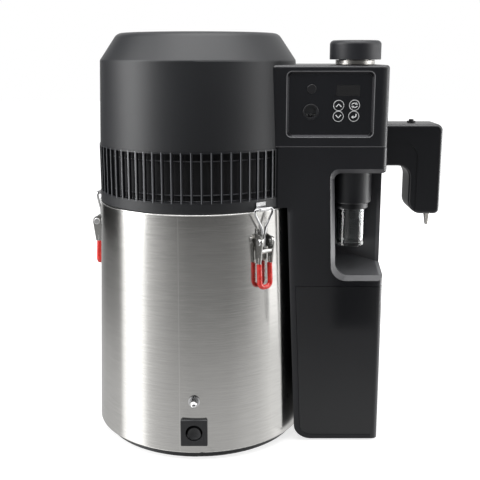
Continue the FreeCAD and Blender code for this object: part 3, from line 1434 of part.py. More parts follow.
def screw_cap():
    """Double-walled screw cap."""
    thread = COLLAR_THREAD_R + CAP_THREAD_GAP
    inner_skirt = thread + CAP_WALL
    roof = CAP_TOP_Z - CAP_ROOF
    ceiling = COLLAR_TOP_Z + LINER_GAP + LINER_T + LINER_GAP
    outer = CAP_R - CAP_WALL
    profile = [(thread, CAP_LOW_Z), (inner_skirt, CAP_LOW_Z), (inner_skirt, roof), (outer, roof),
               (outer, CAP_LOW_Z), (CAP_R, CAP_LOW_Z), (CAP_R, CAP_TOP_Z), (0, CAP_TOP_Z), (0, ceiling),
               (thread, ceiling)]
    return turned(profile, [0, 0, 0, 0, 0, COLLAR_EDGE_R, CAP_EDGE_R, 0, 0, 0], GLASS_X, GLASS_Y)


def cap_liner():
    """Loose sealing disc in the cap."""
    low = COLLAR_TOP_Z + LINER_GAP
    return upright(COLLAR_THREAD_R, low, low + LINER_T, GLASS_X, GLASS_Y)


def arm_outline(inset, y):
    """Side view of the arm, or of its hollow when inset."""
    root = COLUMN_RIGHT_X + ARM_GAP - inset * 3
    top = ARM_TOP_Z - inset
    right = ARM_RIGHT_X - inset
    low = ARM_LOW_Z + inset
    leg = ARM_LEG_X + inset
    under = ARM_UNDER_Z + inset
    foot = ARM_FOOT_R - inset
    heel = ARM_HEEL_R - inset
    return outline([(root, y, top), (right, y, top), (right, y, low), (leg, y, low), (leg, y, under),
                    (root, y, under)],
                   [0, ARM_TOP_R - inset, foot, heel, ARM_CROOK_R + inset, 0])


def outlet_arm():
    """Hollow moulded arm that carries the outlet tube over to the nozzle."""
    deep = ARM_BACK_Y - ARM_FRONT_Y
    root = COLUMN_RIGHT_X + ARM_GAP
    arm = Part.Face(arm_outline(0.0, ARM_FRONT_Y)).extrude(Vector(0, deep, 0))
    arm = soften(arm, ARM_EDGE_R, lambda b: b.YLength < SEAT and b.XMax > root + SEAT)
    room = Part.Face(arm_outline(ARM_WALL, ARM_FRONT_Y + ARM_WALL)).extrude(Vector(0, deep - 2 * ARM_WALL, 0))
    drain = upright(NOZZLE_TOP_R + SEAT, ARM_LOW_Z - CUT, ARM_LOW_Z + ARM_WALL + CUT, NOZZLE_X, NOZZLE_Y)
    vent = upright(PLUG_STEM_R + FREE, ARM_TOP_Z - ARM_WALL - CUT, ARM_TOP_Z + CUT, PLUG_X, PLUG_Y)
    near = ARM_FRONT_Y - CUT
    crease = plate([(root - CUT, near, ARM_CREASE_Z), (ARM_CREASE_X, near, ARM_CREASE_Z),
                    (ARM_CREASE_X, near, ARM_LOW_Z - CUT), (root - CUT, near, ARM_LOW_Z - CUT)],
                   [0, ARM_CREASE_R, 0, 0], (0, CUT + ARM_CREASE_SINK, 0))
    return arm.cut([room, drain, vent, crease])


def drip_nozzle():
    """Tapered metal outlet pushed up into the arm's foot."""
    top = ARM_LOW_Z + NOZZLE_STUB
    profile = [(NOZZLE_BORE_R, NOZZLE_TIP_Z), (NOZZLE_TIP_R, NOZZLE_TIP_Z), (NOZZLE_TOP_R, ARM_LOW_Z),
               (NOZZLE_TOP_R, top), (NOZZLE_BORE_R, top)]
    return turned(profile, [0, NOZZLE_TIP_ROUND, 0, 0, 0], NOZZLE_X, NOZZLE_Y)


def outlet_tubes():
    """Silicone tubes: from the coil to the neck, and from the neck over the arm to the nozzle."""
    top = coil_top_z()
    reach = HOLDER_NECK_R + SEAT
    near = GLASS_Y + reach
    first = outline([(COIL_EXIT_X + SEAT, 0, top), (COIL_EXIT_X + TUBE_RUN, 0, top),
                     (GLASS_X, near + 2 * TUBE_SMALL_R, STEM_TUBE_Z), (GLASS_X, near, STEM_TUBE_Z)],
                    [0, TUBE_BEND_R, TUBE_SMALL_R, 0], closed=False)
    down = ARM_LOW_Z + NOZZLE_STUB + SEAT
    lean = math.radians(TUBE_LEAN_ANGLE)
    run = (NOZZLE_Y - GLASS_Y) / math.sin(lean)
    second = outline([(GLASS_X + reach * math.cos(lean), GLASS_Y + reach * math.sin(lean), TUBE_Z),
                      (GLASS_X + run * math.cos(lean), NOZZLE_Y, TUBE_Z), (NOZZLE_X, NOZZLE_Y, TUBE_Z),
                      (NOZZLE_X, NOZZLE_Y, down)], [0, TUBE_BEND_R, TUBE_BEND_R, 0], closed=False)
    return Part.makeCompound([round_wire(TUBE_R, path, TUBE_WALL) for path in (first, second)])


def vent_plug():
    """Stepped rubber plug in the arm's top."""
    low = ARM_TOP_Z + FREE
    high = low + PLUG_BASE_H
    base = upright(PLUG_BASE_R, low, high, PLUG_X, PLUG_Y)
    knob = upright(PLUG_TOP_R, low, high + PLUG_TOP_H, PLUG_X, PLUG_Y)
    stem = upright(PLUG_STEM_R, low - PLUG_STEM_L, high, PLUG_X, PLUG_Y)
    return base.fuse([knob, stem])


os.makedirs("parts", exist_ok=True)

save("base_plate", base_plate())
save("base_screws", base_screws())
save("boiler_shell", boiler_shell())
save("boiler_pot", boiler_pot())
save("heater_element", heater_element())
save("thermal_cutout", thermal_cutout())
save("switch_bezel", switch_bezel())
save("reset_button", reset_button())
save("front_stud", front_stud())
save("power_inlet", power_inlet())
save("inlet_pins", inlet_pins())

bracket = latch_base()
lever = latch_lever()
grip = latch_grip()
bail = latch_bail()
for place, angle in latch_angles().items():
    save("latch_base_" + place, spin(bracket, angle))
    save("latch_lever_" + place, spin(lever, angle))
    save("latch_grip_" + place, spin(grip, angle))
    save("latch_bail_" + place, spin(bail, angle))
save("latch_pins", latch_pins())
save("latch_hooks", latch_hooks())

save("skirt_ring", skirt_ring())
save("head_lid", head_lid())
save("lid_gasket", lid_gasket())
save("vent_ring", vent_ring())
save("head_dome", head_dome())
save("condenser_coil", condenser_coil())
save("coil_clips", coil_clips())
save("air_shroud", air_shroud())
save("fan_bracket", fan_bracket())
save("fan_motor", fan_motor())
save("fan_rotor", fan_rotor())

save("column_frame", column_frame())
save("lower_cover", lower_cover())
save("cover_screws", cover_screws())
save("column_feet", column_feet())
save("control_housing", control_housing())
save("control_panel", control_panel())
save("display_window", display_window())
save("indicator_lens", indicator_lens())
save("port_socket", port_socket())
save("port_pins", port_pins())
save("control_board", control_board())
for name, (x, z) in KEY_PLACES.items():
    save("key_" + name, key_cap(x, z))

save("sight_glass", sight_glass())
save("cup_holder", cup_holder())
save("neck_collar", neck_collar())
save("screw_cap", screw_cap())
save("cap_liner", cap_liner())
save("outlet_arm", outlet_arm())
save("drip_nozzle", drip_nozzle())
save("outlet_tubes", outlet_tubes())
save("vent_plug", vent_plug())
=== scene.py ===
# Countertop still: a brushed steel boiler, a black moulded head that lifts off it, and a moulded
# column with the controls, a sight glass and an outlet arm. Metres, in the frame of the solids.
import math

import bpy
import numpy as np
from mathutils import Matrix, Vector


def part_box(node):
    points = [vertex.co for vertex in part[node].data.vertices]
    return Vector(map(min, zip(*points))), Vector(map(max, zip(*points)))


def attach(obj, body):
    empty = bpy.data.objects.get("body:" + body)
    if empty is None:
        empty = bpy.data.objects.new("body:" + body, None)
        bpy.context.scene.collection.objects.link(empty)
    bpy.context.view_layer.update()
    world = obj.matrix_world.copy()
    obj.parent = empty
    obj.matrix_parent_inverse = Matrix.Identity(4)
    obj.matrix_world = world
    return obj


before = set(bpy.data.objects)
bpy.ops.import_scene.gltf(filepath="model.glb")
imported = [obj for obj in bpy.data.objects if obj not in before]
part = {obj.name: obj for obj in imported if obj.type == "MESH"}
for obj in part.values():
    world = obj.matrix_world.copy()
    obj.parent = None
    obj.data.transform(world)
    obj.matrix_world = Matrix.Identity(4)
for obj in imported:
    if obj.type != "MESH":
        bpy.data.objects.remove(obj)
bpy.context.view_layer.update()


# Base pan, switch bezel and power inlet: injection-moulded black polypropylene with a fine
# spark-eroded grain. The pan is set in under the shell, and the boiler stands on it.
class Wire:
    """One socket of a material's node tree. Arithmetic on it adds Math nodes."""

    def __init__(self, tree, socket=None):
        self.tree = tree
        self.socket = socket

    def plug(self, socket, value):
        """Link a wire to a socket, or write a plain value on it. A colour may leave out its alpha."""
        if isinstance(value, Wire):
            self.tree.links.new(value.socket, socket)
            return
        if hasattr(value, "__len__") and len(value) < len(socket.default_value):
            value = [*value, 1]
        socket.default_value = value

    def node(self, kind, values=None, out=0, stops=None, **settings):
        """Add any node: its settings first, then its ramp's stops, then its sockets' values or links."""
        made = self.tree.nodes.new(kind)
        for key, value in settings.items():
            setattr(made, key, value)
        if stops:
            ramp = made.color_ramp.elements
            while len(ramp) < len(stops):
                ramp.new(1.0)
            for element, (place, level) in zip(ramp, stops):
                element.position = place
                element.color = (level, level, level, 1)
        for key, value in (values or {}).items():
            self.plug(made.inputs[key], value)
        return Wire(self.tree, made.outputs[out])

    def maths(self, operation, *others):
        """Add one Math node that takes this value first."""
        return self.node("ShaderNodeMath", dict(enumerate((self, *others))), operation=operation)

    def __add__(self, other):
        return self.maths("ADD", other)

    def __sub__(self, other):
        return self.maths("SUBTRACT", other)

    def __rsub__(self, other):
        return self.maths("MULTIPLY_ADD", -1.0, other)

    def __mul__(self, other):
        return self.maths("MULTIPLY", other)

    def __truediv__(self, other):
        return self.maths("DIVIDE", other)

    def __gt__(self, other):
        return self.maths("GREATER_THAN", other)

    def __lt__(self, other):
        return self.maths("LESS_THAN", other)

    __radd__ = __add__
    __rmul__ = __mul__

    def size(self):
        """This value without its sign."""
        return self.maths("ABSOLUTE")

    def between(self, low, high, start=0.0, end=1.0):
        """Smooth step of this value from low to high, given out from start to end."""
        return self.node("ShaderNodeMapRange", {0: self, 1: low, 2: high, 3: start, 4: end},
                         interpolation_type="SMOOTHSTEP")

    def until(self, low, high):
        """Smooth step down: 1 up to low, and 0 from high on."""
        return self.between(low, high, 1.0, 0.0)

    def blend(self, first, second):
        """Colour between two colours, with this value as the share of the second."""
        return self.node("ShaderNodeMix", {0: self, 6: first, 7: second}, out=2, data_type="RGBA")

    def parts(self):
        """The three coordinates of this vector as separate wires."""
        return [self.node("ShaderNodeSeparateXYZ", {"Vector": self}, out=axis) for axis in range(3)]


class Finish:
    """A material with one Principled shader, read in the object's own metres."""

    def __init__(self, name, **constants):
        self.material = bpy.data.materials.new(name)
        self.material.use_nodes = True
        self.shader = self.material.node_tree.nodes["Principled BSDF"]
        self.wire = Wire(self.material.node_tree)
        self.at = self.wire.node("ShaderNodeTexCoord", out="Object")
        self.set(**constants)

    def set(self, **looks):
        """Write constants on the shader's sockets, or link what varies to them."""
        for key, value in looks.items():
            self.wire.plug(self.shader.inputs[key.replace("_", " ")], value)
        return self

    def fed(self, socket):
        """What feeds a socket of the shader by now, or nothing."""
        links = self.shader.inputs[socket].links
        return Wire(self.wire.tree, links[0].from_socket) if links else None

    def noise(self, scale, detail=2.0, rough=0.5, stretch=None):
        """Noise from 0 to 1 at a number of cells to the metre, or to a stretched metre."""
        where = self.at
        if stretch:
            where = self.wire.node("ShaderNodeMapping", {"Vector": where, "Scale": stretch})
        return self.wire.node("ShaderNodeTexNoise", {"Vector": where, "Scale": scale, "Detail": detail,
                                                     "Roughness": rough})

    def relief(self, height, depth):
        """Bump of a height from 0 to 1 with a real depth in metres, added to what is there."""
        values = {"Strength": 1.0, "Distance": depth, "Height": height}
        under = self.fed("Normal")
        if under:
            values["Normal"] = under
        return self.set(Normal=self.wire.node("ShaderNodeBump", values))

    def paint(self, mask, colour):
        """Lay a colour over the surface as far as a mask from 0 to 1 says."""
        return self.set(Base_Color=mask.blend(self.fed("Base Color"), colour))

    def wear(self, *nodes):
        """Give this material to solids of the frame."""
        for name in nodes:
            mesh = part[name].data
            mesh.materials.clear()
            mesh.materials.append(self.material)
        return self


PLASTIC_IOR = 1.46
PATCHES = 9
MOTTLE = (0.3, 0.8)
DUST_GAIN = 1.35
DUST_LIFT = 0.004
PATCH_SHEEN = 0.08
GRAIN_SHEEN = 0.04


def moulded(name, colour, rough, grain=3200, depth=0.00002):
    """Moulded plastic: a fine grain, slow drift of its sheen and a little dust-fine mottle."""
    made = Finish(name, IOR=PLASTIC_IOR)
    drift = made.noise(PATCHES)
    cells = made.noise(grain, detail=3, rough=0.6)
    dusted = [tone * DUST_GAIN + DUST_LIFT for tone in colour]
    mottle = ((cells + drift) / 2).between(*MOTTLE)
    made.set(Base_Color=mottle.blend(colour, dusted),
             Roughness=rough - GRAIN_SHEEN + drift * PATCH_SHEEN + cells * GRAIN_SHEEN)
    return made.relief(cells, depth)


moulded("moulded_black", (0.0165, 0.0170, 0.0185), rough=0.40).wear(
    "base_plate", "switch_bezel", "power_inlet")


# Reset button: a round push button of the same plastic, its face dished. A black crescent of
# painted shadow lies on its face under the bezel's upper edge.
DISC_R = 0.0062
DISC_DROP = 0.0017
DISC_BLUR = 0.0003
CRESCENT_LOW = (-0.0036, -0.0010)
NO_LIGHT = (0.0008, 0.0008, 0.0010)


def span(first, second):
    """Length of the hypotenuse: the root of the two squares' sum."""
    return (first * first + second * second).maths("SQRT")


button_low, button_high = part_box("reset_button")
button_x = (button_low.x + button_high.x) / 2
button_z = (button_low.z + button_high.z) / 2
button_black = moulded("button_black", (0.024, 0.0245, 0.026), rough=0.45, grain=2600, depth=0.000008)
x, _, z = button_black.at.parts()
off_disc = span(x - button_x, z - (button_z - DISC_DROP))
# Painted shadow: a black crescent over the top of the button's face, made metallic so that it stays black.
painted_shadow_crescent = off_disc.between(DISC_R - DISC_BLUR, DISC_R + DISC_BLUR)
painted_shadow_crescent = painted_shadow_crescent * z.between(*(button_z + height for height in CRESCENT_LOW))
button_black.paint(painted_shadow_crescent, NO_LIGHT).set(Metallic=painted_shadow_crescent).wear("reset_button")


# Boiler shell: 1 mm stainless sheet, brushed round the girth, rolled and butt-welded with the
# seam at the front. The pot's flange is beaded over its top edge.
HAIRS = (24, 24, 3600)
SCRATCHES = (48, 48, 1300)
BANDS = (6, 6, 420)
HAIR_SHARE, SCRATCH_SHARE, BAND_SHARE, DRIFT_SHARE = 0.35, 0.45, 0.12, 0.08
LINE_TONES = (0.34, 0.66)
DARK_LINE = 0.87
STEEL_ROUGH = 0.125
SCRATCH_ROUGH = 0.06
BAND_ROUGH = 0.02
HAIR_DEPTH = 0.00002
SEAM_ANGLE = math.radians(-8.6)
SEAM_HALF = 0.0008
SEAM_DEPTH = 0.00003
SEAM_TONE = (0.635, 0.625, 0.605)


def brushed(name, colour):
    """Stainless brushed round the upright axis: lines far finer in height than along the girth."""
    made = Finish(name, Metallic=1.0)
    hair = made.noise(scale=1, rough=0.6, stretch=HAIRS)
    fine = made.noise(scale=1, rough=0.6, stretch=SCRATCHES)
    broad = made.noise(scale=1, stretch=BANDS)
    drift = made.noise(scale=7, detail=1)
    mixed = hair * HAIR_SHARE + fine * SCRATCH_SHARE + broad * BAND_SHARE + drift * DRIFT_SHARE
    made.set(Base_Color=mixed.between(*LINE_TONES).blend([tone * DARK_LINE for tone in colour], colour),
             Roughness=STEEL_ROUGH + fine * SCRATCH_ROUGH + broad * BAND_ROUGH)
    return made.relief(hair, HAIR_DEPTH)


shell_steel = brushed("brushed_steel", (0.60, 0.592, 0.572))
x, y, _ = shell_steel.at.parts()
off_seam = (x * math.cos(SEAM_ANGLE) + y * math.sin(SEAM_ANGLE)).size()
seam = off_seam.until(0.0, SEAM_HALF) * (y < 0.0)
shell_steel.relief(seam, SEAM_DEPTH).paint(seam, SEAM_TONE).wear("boiler_shell")
brushed("drawn_steel", (0.74, 0.735, 0.72)).wear("boiler_pot", "head_lid")


# Turned, cast and plated small parts: bright nickel, pressed and drawn steel for the latches, cast
# aluminium, brass pins and a coil darkened as painted shade, with light tool marks.
TARNISH_CELLS = 60
TARNISH = (0.2, 0.9)
TARNISHED = 0.86
TARNISH_ROUGH = 0.05
MARK_ROUGH = 0.10
MARK_DEPTH = 0.000012


def bright(name, colour, rough, marks=900):
    """Polished or plated metal with short random scratches."""
    made = Finish(name, Metallic=1.0)
    scratch = made.noise(marks, detail=3, rough=0.65)
    dull = made.noise(TARNISH_CELLS)
    made.set(Base_Color=dull.between(*TARNISH).blend([tone * TARNISHED for tone in colour], colour),
             Roughness=rough + scratch * MARK_ROUGH + dull * TARNISH_ROUGH)
    return made.relief(scratch, MARK_DEPTH)


def each_latch(name):
    """The three latches' nodes of one kind."""
    return [name + place for place in ("_front", "_left", "_rear")]


bright("plated_steel", (0.78, 0.78, 0.785), rough=0.10).wear(
    "front_stud", "latch_pins", "latch_hooks", "base_screws", "cover_screws", "port_pins")
bright("pressed_steel", (0.50, 0.495, 0.48), rough=0.18, marks=1500).wear(
    *each_latch("latch_base"), *each_latch("latch_lever"))
bright("drawn_wire", (0.46, 0.46, 0.465), rough=0.08, marks=2400).wear(*each_latch("latch_bail"))
bright("satin_steel", (0.62, 0.60, 0.57), rough=0.28, marks=3000).wear("drip_nozzle", "neck_collar")
bright("cast_aluminium", (0.60, 0.60, 0.61), rough=0.42, marks=700).wear("heater_element", "fan_bracket")
bright("brass_pins", (0.72, 0.56, 0.28), rough=0.20, marks=3000).wear("inlet_pins")
# Painted shade: the coil and its clips are near black, standing in for the shade behind the slots.
bright("coil_darkened_for_shade", (0.055, 0.056, 0.060), rough=0.38).wear("condenser_coil", "coil_clips")


# Thermostat, fan and its shroud: dark phenolic mouldings inside the boiler and the head, matt and
# coarser in the grain than the outer ones.
moulded("dark_phenolic", (0.045, 0.045, 0.047), rough=0.5, grain=1800).wear(
    "thermal_cutout", "fan_motor", "fan_rotor", "air_shroud")


# Latch grips: the lever's wire loop is dipped in red vinyl, glossy and slightly uneven. The dip
# pools a little, so the red is deeper where it is thick.
THICK_RED = (0.58, 0.014, 0.010)
THIN_RED = (0.76, 0.028, 0.018)
GRIP_ROUGH = 0.22
POOL_ROUGH = 0.10
RIPPLE_DEPTH = 0.00012

vinyl = Finish("red_vinyl", Coat_Weight=0.35, Coat_Roughness=0.08, IOR=1.5)
pools = vinyl.noise(scale=180)
vinyl.set(Base_Color=pools.between(0.25, 0.8).blend(THICK_RED, THIN_RED),
          Roughness=GRIP_ROUGH + pools * POOL_ROUGH)
vinyl.relief(vinyl.noise(scale=420), RIPPLE_DEPTH).wear(*each_latch("latch_grip"))


# Head: three mouldings, the skirt over the boiler's rim, the ring of 68 upright ribs that the fan
# draws air through, and the domed cover. Each rib's left edge carries a painted highlight, a thin light line.
RIB_FACE_R = (0.1000, 0.1006)
RIB_COUNT = 68
FIRST_SLOT = math.radians(1.4)
EDGE_START = (0.385, 0.41)
EDGE_END = (0.44, 0.49)
RIB_HIGHLIGHT_TONE = (0.19, 0.195, 0.21)

moulded("head_black", (0.0062, 0.0068, 0.0084), rough=0.44, grain=1100, depth=0.00006).wear(
    "head_dome", "skirt_ring")
rib_black = moulded("rib_black", (0.008, 0.0085, 0.0105), rough=0.34)
x, y, _ = rib_black.at.parts()
turned = x.maths("ARCTAN2", y * -1.0) - FIRST_SLOT
along_pitch = (turned * (RIB_COUNT / (2 * math.pi))).maths("FRACT")
# Painted highlight: a thin light band down each rib's left edge.
rib_edge_highlight = along_pitch.between(*EDGE_START) * along_pitch.until(*EDGE_END) * span(x, y).between(*RIB_FACE_R)
rib_black.paint(rib_edge_highlight, RIB_HIGHLIGHT_TONE).wear("vent_ring")


# Shade screen: a near-black matt sheet on three hoops inside the ribs, put there as painted shade
# behind the slots; it also hides the coil.
SCREEN_R = 0.0955
SCREEN_Z = (0.2520, 0.2985)
HOOPS = (0.2532, 0.2592, 0.2906)
HOOP_R = 0.0006


def surface(name, points, material, wrap_u=False, wrap_v=False, smooth=True):
    """Mesh of a grid of points, [rows, columns, 3], with its edges closed where wrapped."""
    points = np.asarray(points, float)
    rows, columns = points.shape[:2]
    grid = np.arange(rows * columns).reshape(rows, columns)
    if wrap_u:
        grid = np.vstack([grid, grid[:1]])
    if wrap_v:
        grid = np.hstack([grid, grid[:, :1]])
    faces = np.stack([grid[:-1, :-1], grid[:-1, 1:], grid[1:, 1:], grid[1:, :-1]], -1).reshape(-1, 4)
    mesh = bpy.data.meshes.new(name)
    mesh.from_pydata(points.reshape(-1, 3).tolist(), [], faces.tolist())
    mesh.polygons.foreach_set("use_smooth", np.full(len(faces), smooth))
    mesh.materials.append(material)
    made = bpy.data.objects.new(name, mesh)
    bpy.context.scene.collection.objects.link(made)
    return made


def upright_band(name, radius, low, high, material, around=128):
    """Open cylinder about the boiler's axis: the radius turned through a whole circle at each height."""
    turn, height = np.meshgrid(np.linspace(0, 2 * np.pi, around, endpoint=False), [low, high])
    points = np.stack([radius * np.cos(turn), radius * np.sin(turn), height], -1)
    return surface(name, points, material, wrap_v=True)


def hoop(name, radius, height, wire, material, around=160, sides=8):
    """Torus: a small circle of the wire's radius carried round a level circle."""
    turn, roll = np.meshgrid(np.linspace(0, 2 * np.pi, around, endpoint=False),
                             np.linspace(0, 2 * np.pi, sides, endpoint=False), indexing="ij")
    reach = radius + wire * np.cos(roll)
    points = np.stack([reach * np.cos(turn), reach * np.sin(turn), height + wire * np.sin(roll)], -1)
    return surface(name, points, material, wrap_u=True, wrap_v=True)


shade_screen_black = moulded("shade_screen_black", (0.0020, 0.0021, 0.0030), rough=0.9, grain=1500, depth=0.00005)
hoop_grey = moulded("hoop_grey", (0.045, 0.046, 0.052), rough=0.4, grain=2500, depth=0.00001)
screen = upright_band("shade_screen", SCREEN_R, *SCREEN_Z, shade_screen_black.material)
hoops = [hoop("screen_hoop_%d" % place, SCREEN_R + HOOP_R, height, HOOP_R, hoop_grey.material)
         for place, height in enumerate(HOOPS)]
for piece in [screen, *hoops]:
    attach(piece, "head")


# Sealing rings and tubes: translucent silicone, pressed or extruded, slightly clouded. They lie
# between the lid and the pot, inside the cap, and inside the arm.
CLOUDED = (0.60, 0.61, 0.58)
CLEARER = (0.72, 0.73, 0.70)
SOAK = (0.002, 0.002, 0.002)
BLOOM_DEPTH = 0.00002

silicone = Finish("silicone", Roughness=0.5, Subsurface_Weight=0.2, Subsurface_Radius=SOAK)
silicone.set(Base_Color=silicone.noise(scale=90).between(0.2, 0.8).blend(CLOUDED, CLEARER))
silicone.relief(silicone.noise(scale=1500), BLOOM_DEPTH).wear("lid_gasket", "cap_liner", "outlet_tubes")


# Column: the upper moulding, with the niche and the curved spine. Inside the niche the moulding is
# painted lighter as painted light, most of all on its floor, and the lower part of the niche's right lip
# carries a painted highlight.
NICHE_X = (0.133, 0.1815)
NICHE_Y = (-0.0625, -0.0062)
NICHE_Z = (0.170, 0.276)
NICHE_BLUR = 0.003
NICHE_FLOOR_Z = (0.186, 0.196)
LIP_X = (0.1779, 0.1791)
LIP_Z = (0.228, 0.256)
BEVEL_FACING = (0.78, 0.93)
BEVEL_TINT = 1.08
NICHE_LIGHT_TONE = (0.038, 0.039, 0.043)
NICHE_FLOOR_LIGHT_TONE = (0.064, 0.065, 0.069)
LIP_HIGHLIGHT_TONE = (0.17, 0.172, 0.18)


def paint_bevel_highlights(made, light):
    """Lighten what faces aslant, which is the bevels and rounded edges: a painted highlight along them."""
    facing = [axis.size() for axis in made.wire.node("ShaderNodeNewGeometry", out="Normal").parts()]
    most = facing[0].maths("MAXIMUM", facing[1]).maths("MAXIMUM", facing[2])
    return made.paint(most.until(*BEVEL_FACING), (light, light, light * BEVEL_TINT))


column_black = moulded("column_black", (0.0068, 0.0072, 0.0094), rough=0.36, grain=2600)
x, y, z = column_black.at.parts()
in_niche = ((x > NICHE_X[0]) * (x < NICHE_X[1]) * y.between(NICHE_Y[0], NICHE_Y[0] + NICHE_BLUR)
            * (y < NICHE_Y[1]) * (z > NICHE_Z[0]) * (z < NICHE_Z[1]))
# Painted light inside the niche, stronger on its floor, and a painted highlight on the right lip.
column_black.paint(in_niche, NICHE_LIGHT_TONE)
column_black.paint(in_niche * z.until(*NICHE_FLOOR_Z), NICHE_FLOOR_LIGHT_TONE)
column_black.paint(x.between(*LIP_X) * z.until(*LIP_Z) * in_niche, LIP_HIGHLIGHT_TONE)
paint_bevel_highlights(column_black, light=0.060).wear("column_frame")


# Column's other mouldings: the wrap-round foot cover, painted lighter toward the floor as a painted
# reflection of the white floor, the arm with its coarser grain, and the sleeve that holds the cup.
FLOOR_REFLECTION_Z = (0.0, 0.13)
FLOOR_REFLECTION_TONE = (0.026, 0.0265, 0.028)

cover_black = moulded("cover_black", (0.0085, 0.0089, 0.0108), rough=0.36, grain=2600)
# Painted reflection: the cover lightens toward the floor.
cover_black.paint(cover_black.at.parts()[2].until(*FLOOR_REFLECTION_Z), FLOOR_REFLECTION_TONE)
paint_bevel_highlights(cover_black, light=0.045).wear("lower_cover")
arm_black = moulded("arm_black", (0.0020, 0.0024, 0.0040), rough=0.36, grain=1500, depth=0.00004)
paint_bevel_highlights(arm_black, light=0.040).wear("outlet_arm")
moulded("sleeve_black", (0.0040, 0.0043, 0.0060), rough=0.40, grain=2600).wear("cup_holder")


# Housing on top of the column: the step round the panel is painted shade, near black, with a painted
# highlight line at its edge, and the housing's own lower edge and right corner carry painted highlights.
PANEL_MIDDLE = (0.1264, 0.34025)
PANEL_HALF = (0.0411, 0.03075)
PANEL_CORNER_R = 0.005
STEP_INSIDE = (-0.0029, -0.0027)
STEP_OUTSIDE = (-0.0010, -0.0006)
LINE_MIDDLE = -0.0001
LINE_HALF = 0.00042
LOW_EDGE = (0.0005, 0.0009)
CORNER_REACH = (0.0085, 0.003)
FRONT_ONLY_Y = -0.062
CORNER_HIGHLIGHT_TONE = (0.040, 0.041, 0.043)
STEP_SHADE_TONE = (0.0010, 0.0010, 0.0014)
LINE_HIGHLIGHT_TONE = (0.24, 0.24, 0.25)

housing_black = moulded("housing_black", (0.0068, 0.0072, 0.0094), rough=0.36, grain=2600)
x, y, z = housing_black.at.parts()
reach_x = (x - PANEL_MIDDLE[0]).size() - (PANEL_HALF[0] - PANEL_CORNER_R)
reach_z = (z - PANEL_MIDDLE[1]).size() - (PANEL_HALF[1] - PANEL_CORNER_R)
round_corner = span(reach_x.maths("MAXIMUM", 0.0), reach_z.maths("MAXIMUM", 0.0))
off_outline = round_corner + reach_x.maths("MAXIMUM", reach_z).maths("MINIMUM", 0.0) - PANEL_CORNER_R
front = y < FRONT_ONLY_Y
housing_low, housing_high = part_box("control_housing")
corner_highlight = x.between(*(housing_high.x - reach for reach in CORNER_REACH)) * front
step_shade = off_outline.between(*STEP_INSIDE) * off_outline.until(*STEP_OUTSIDE) * front
outline_highlight = (off_outline - LINE_MIDDLE).size().until(LINE_HALF / 2, LINE_HALF) * front
low_edge_highlight = z.until(*(housing_low.z + height for height in LOW_EDGE)) * front
# Painted highlights on the right corner, the panel's outline and the lower edge; painted shade on the step.
housing_black.paint(corner_highlight, CORNER_HIGHLIGHT_TONE).paint(step_shade, STEP_SHADE_TONE)
housing_black.paint(outline_highlight + low_edge_highlight / 2, LINE_HIGHLIGHT_TONE).set(Metallic=step_shade)
paint_bevel_highlights(housing_black, light=0.040).wear("control_housing")


# Feet and vent plug: soft black rubber, matt and finely pitted. The feet are pushed into the foot
# cover, and the plug stops the vent on the arm's top.
moulded("black_rubber", (0.012, 0.012, 0.013), rough=0.62, grain=1400, depth=0.00004).wear(
    "column_feet", "vent_plug")


# Controls: a moulded fascia with a smoked window, a lamp, a three-pin socket and four keys, with
# the circuit board behind. The socket's floor is painted lighter as painted light, and a painted highlight
# runs round the upper half of its rim.
PORT_MIDDLE = (0.1082, 0.3334)
PORT_FLOOR_R = 0.0062
PORT_RIM_R = 0.0071
PORT_RIM_HALF = (0.00012, 0.00028)
PORT_RIM_Z = (0.3315, 0.3345)
PORT_FLOOR_TONE = (0.0075, 0.008, 0.010)
PORT_RIM_HIGHLIGHT_TONE = (0.085, 0.085, 0.088)

for name, nodes in (("printed_fascia", ["control_panel"]),
                    ("key_black", ["key_up", "key_down", "key_swap", "key_enter"])):
    moulded(name, (0.0052, 0.0057, 0.0078), rough=0.36, grain=4200, depth=0.000008).wear(*nodes)
# Painted light: the socket's own colour is lighter than the fascia's; outside its floor it is painted back to
# black.
port_black = moulded("port_black", (0.030, 0.031, 0.034), rough=0.5, grain=3000, depth=0.00001)
x, _, z = port_black.at.parts()
off_port = span(x - PORT_MIDDLE[0], z - PORT_MIDDLE[1])
port_black.paint(off_port > PORT_FLOOR_R, PORT_FLOOR_TONE)
rim_highlight = (off_port - PORT_RIM_R).size().until(*PORT_RIM_HALF) * z.between(*PORT_RIM_Z)
port_black.paint(rim_highlight, PORT_RIM_HIGHLIGHT_TONE).wear("port_socket")
window = Finish("smoked_window", Base_Color=(0.025, 0.025, 0.026), Roughness=0.22, Coat_Weight=0.3)
window.wear("display_window")
lens = Finish("lamp_lens", Base_Color=(0.021, 0.021, 0.023), Roughness=0.3, Coat_Weight=0.2)
lens.wear("indicator_lens")
moulded("circuit_board", (0.03, 0.16, 0.06), rough=0.35, grain=1500).wear("control_board")


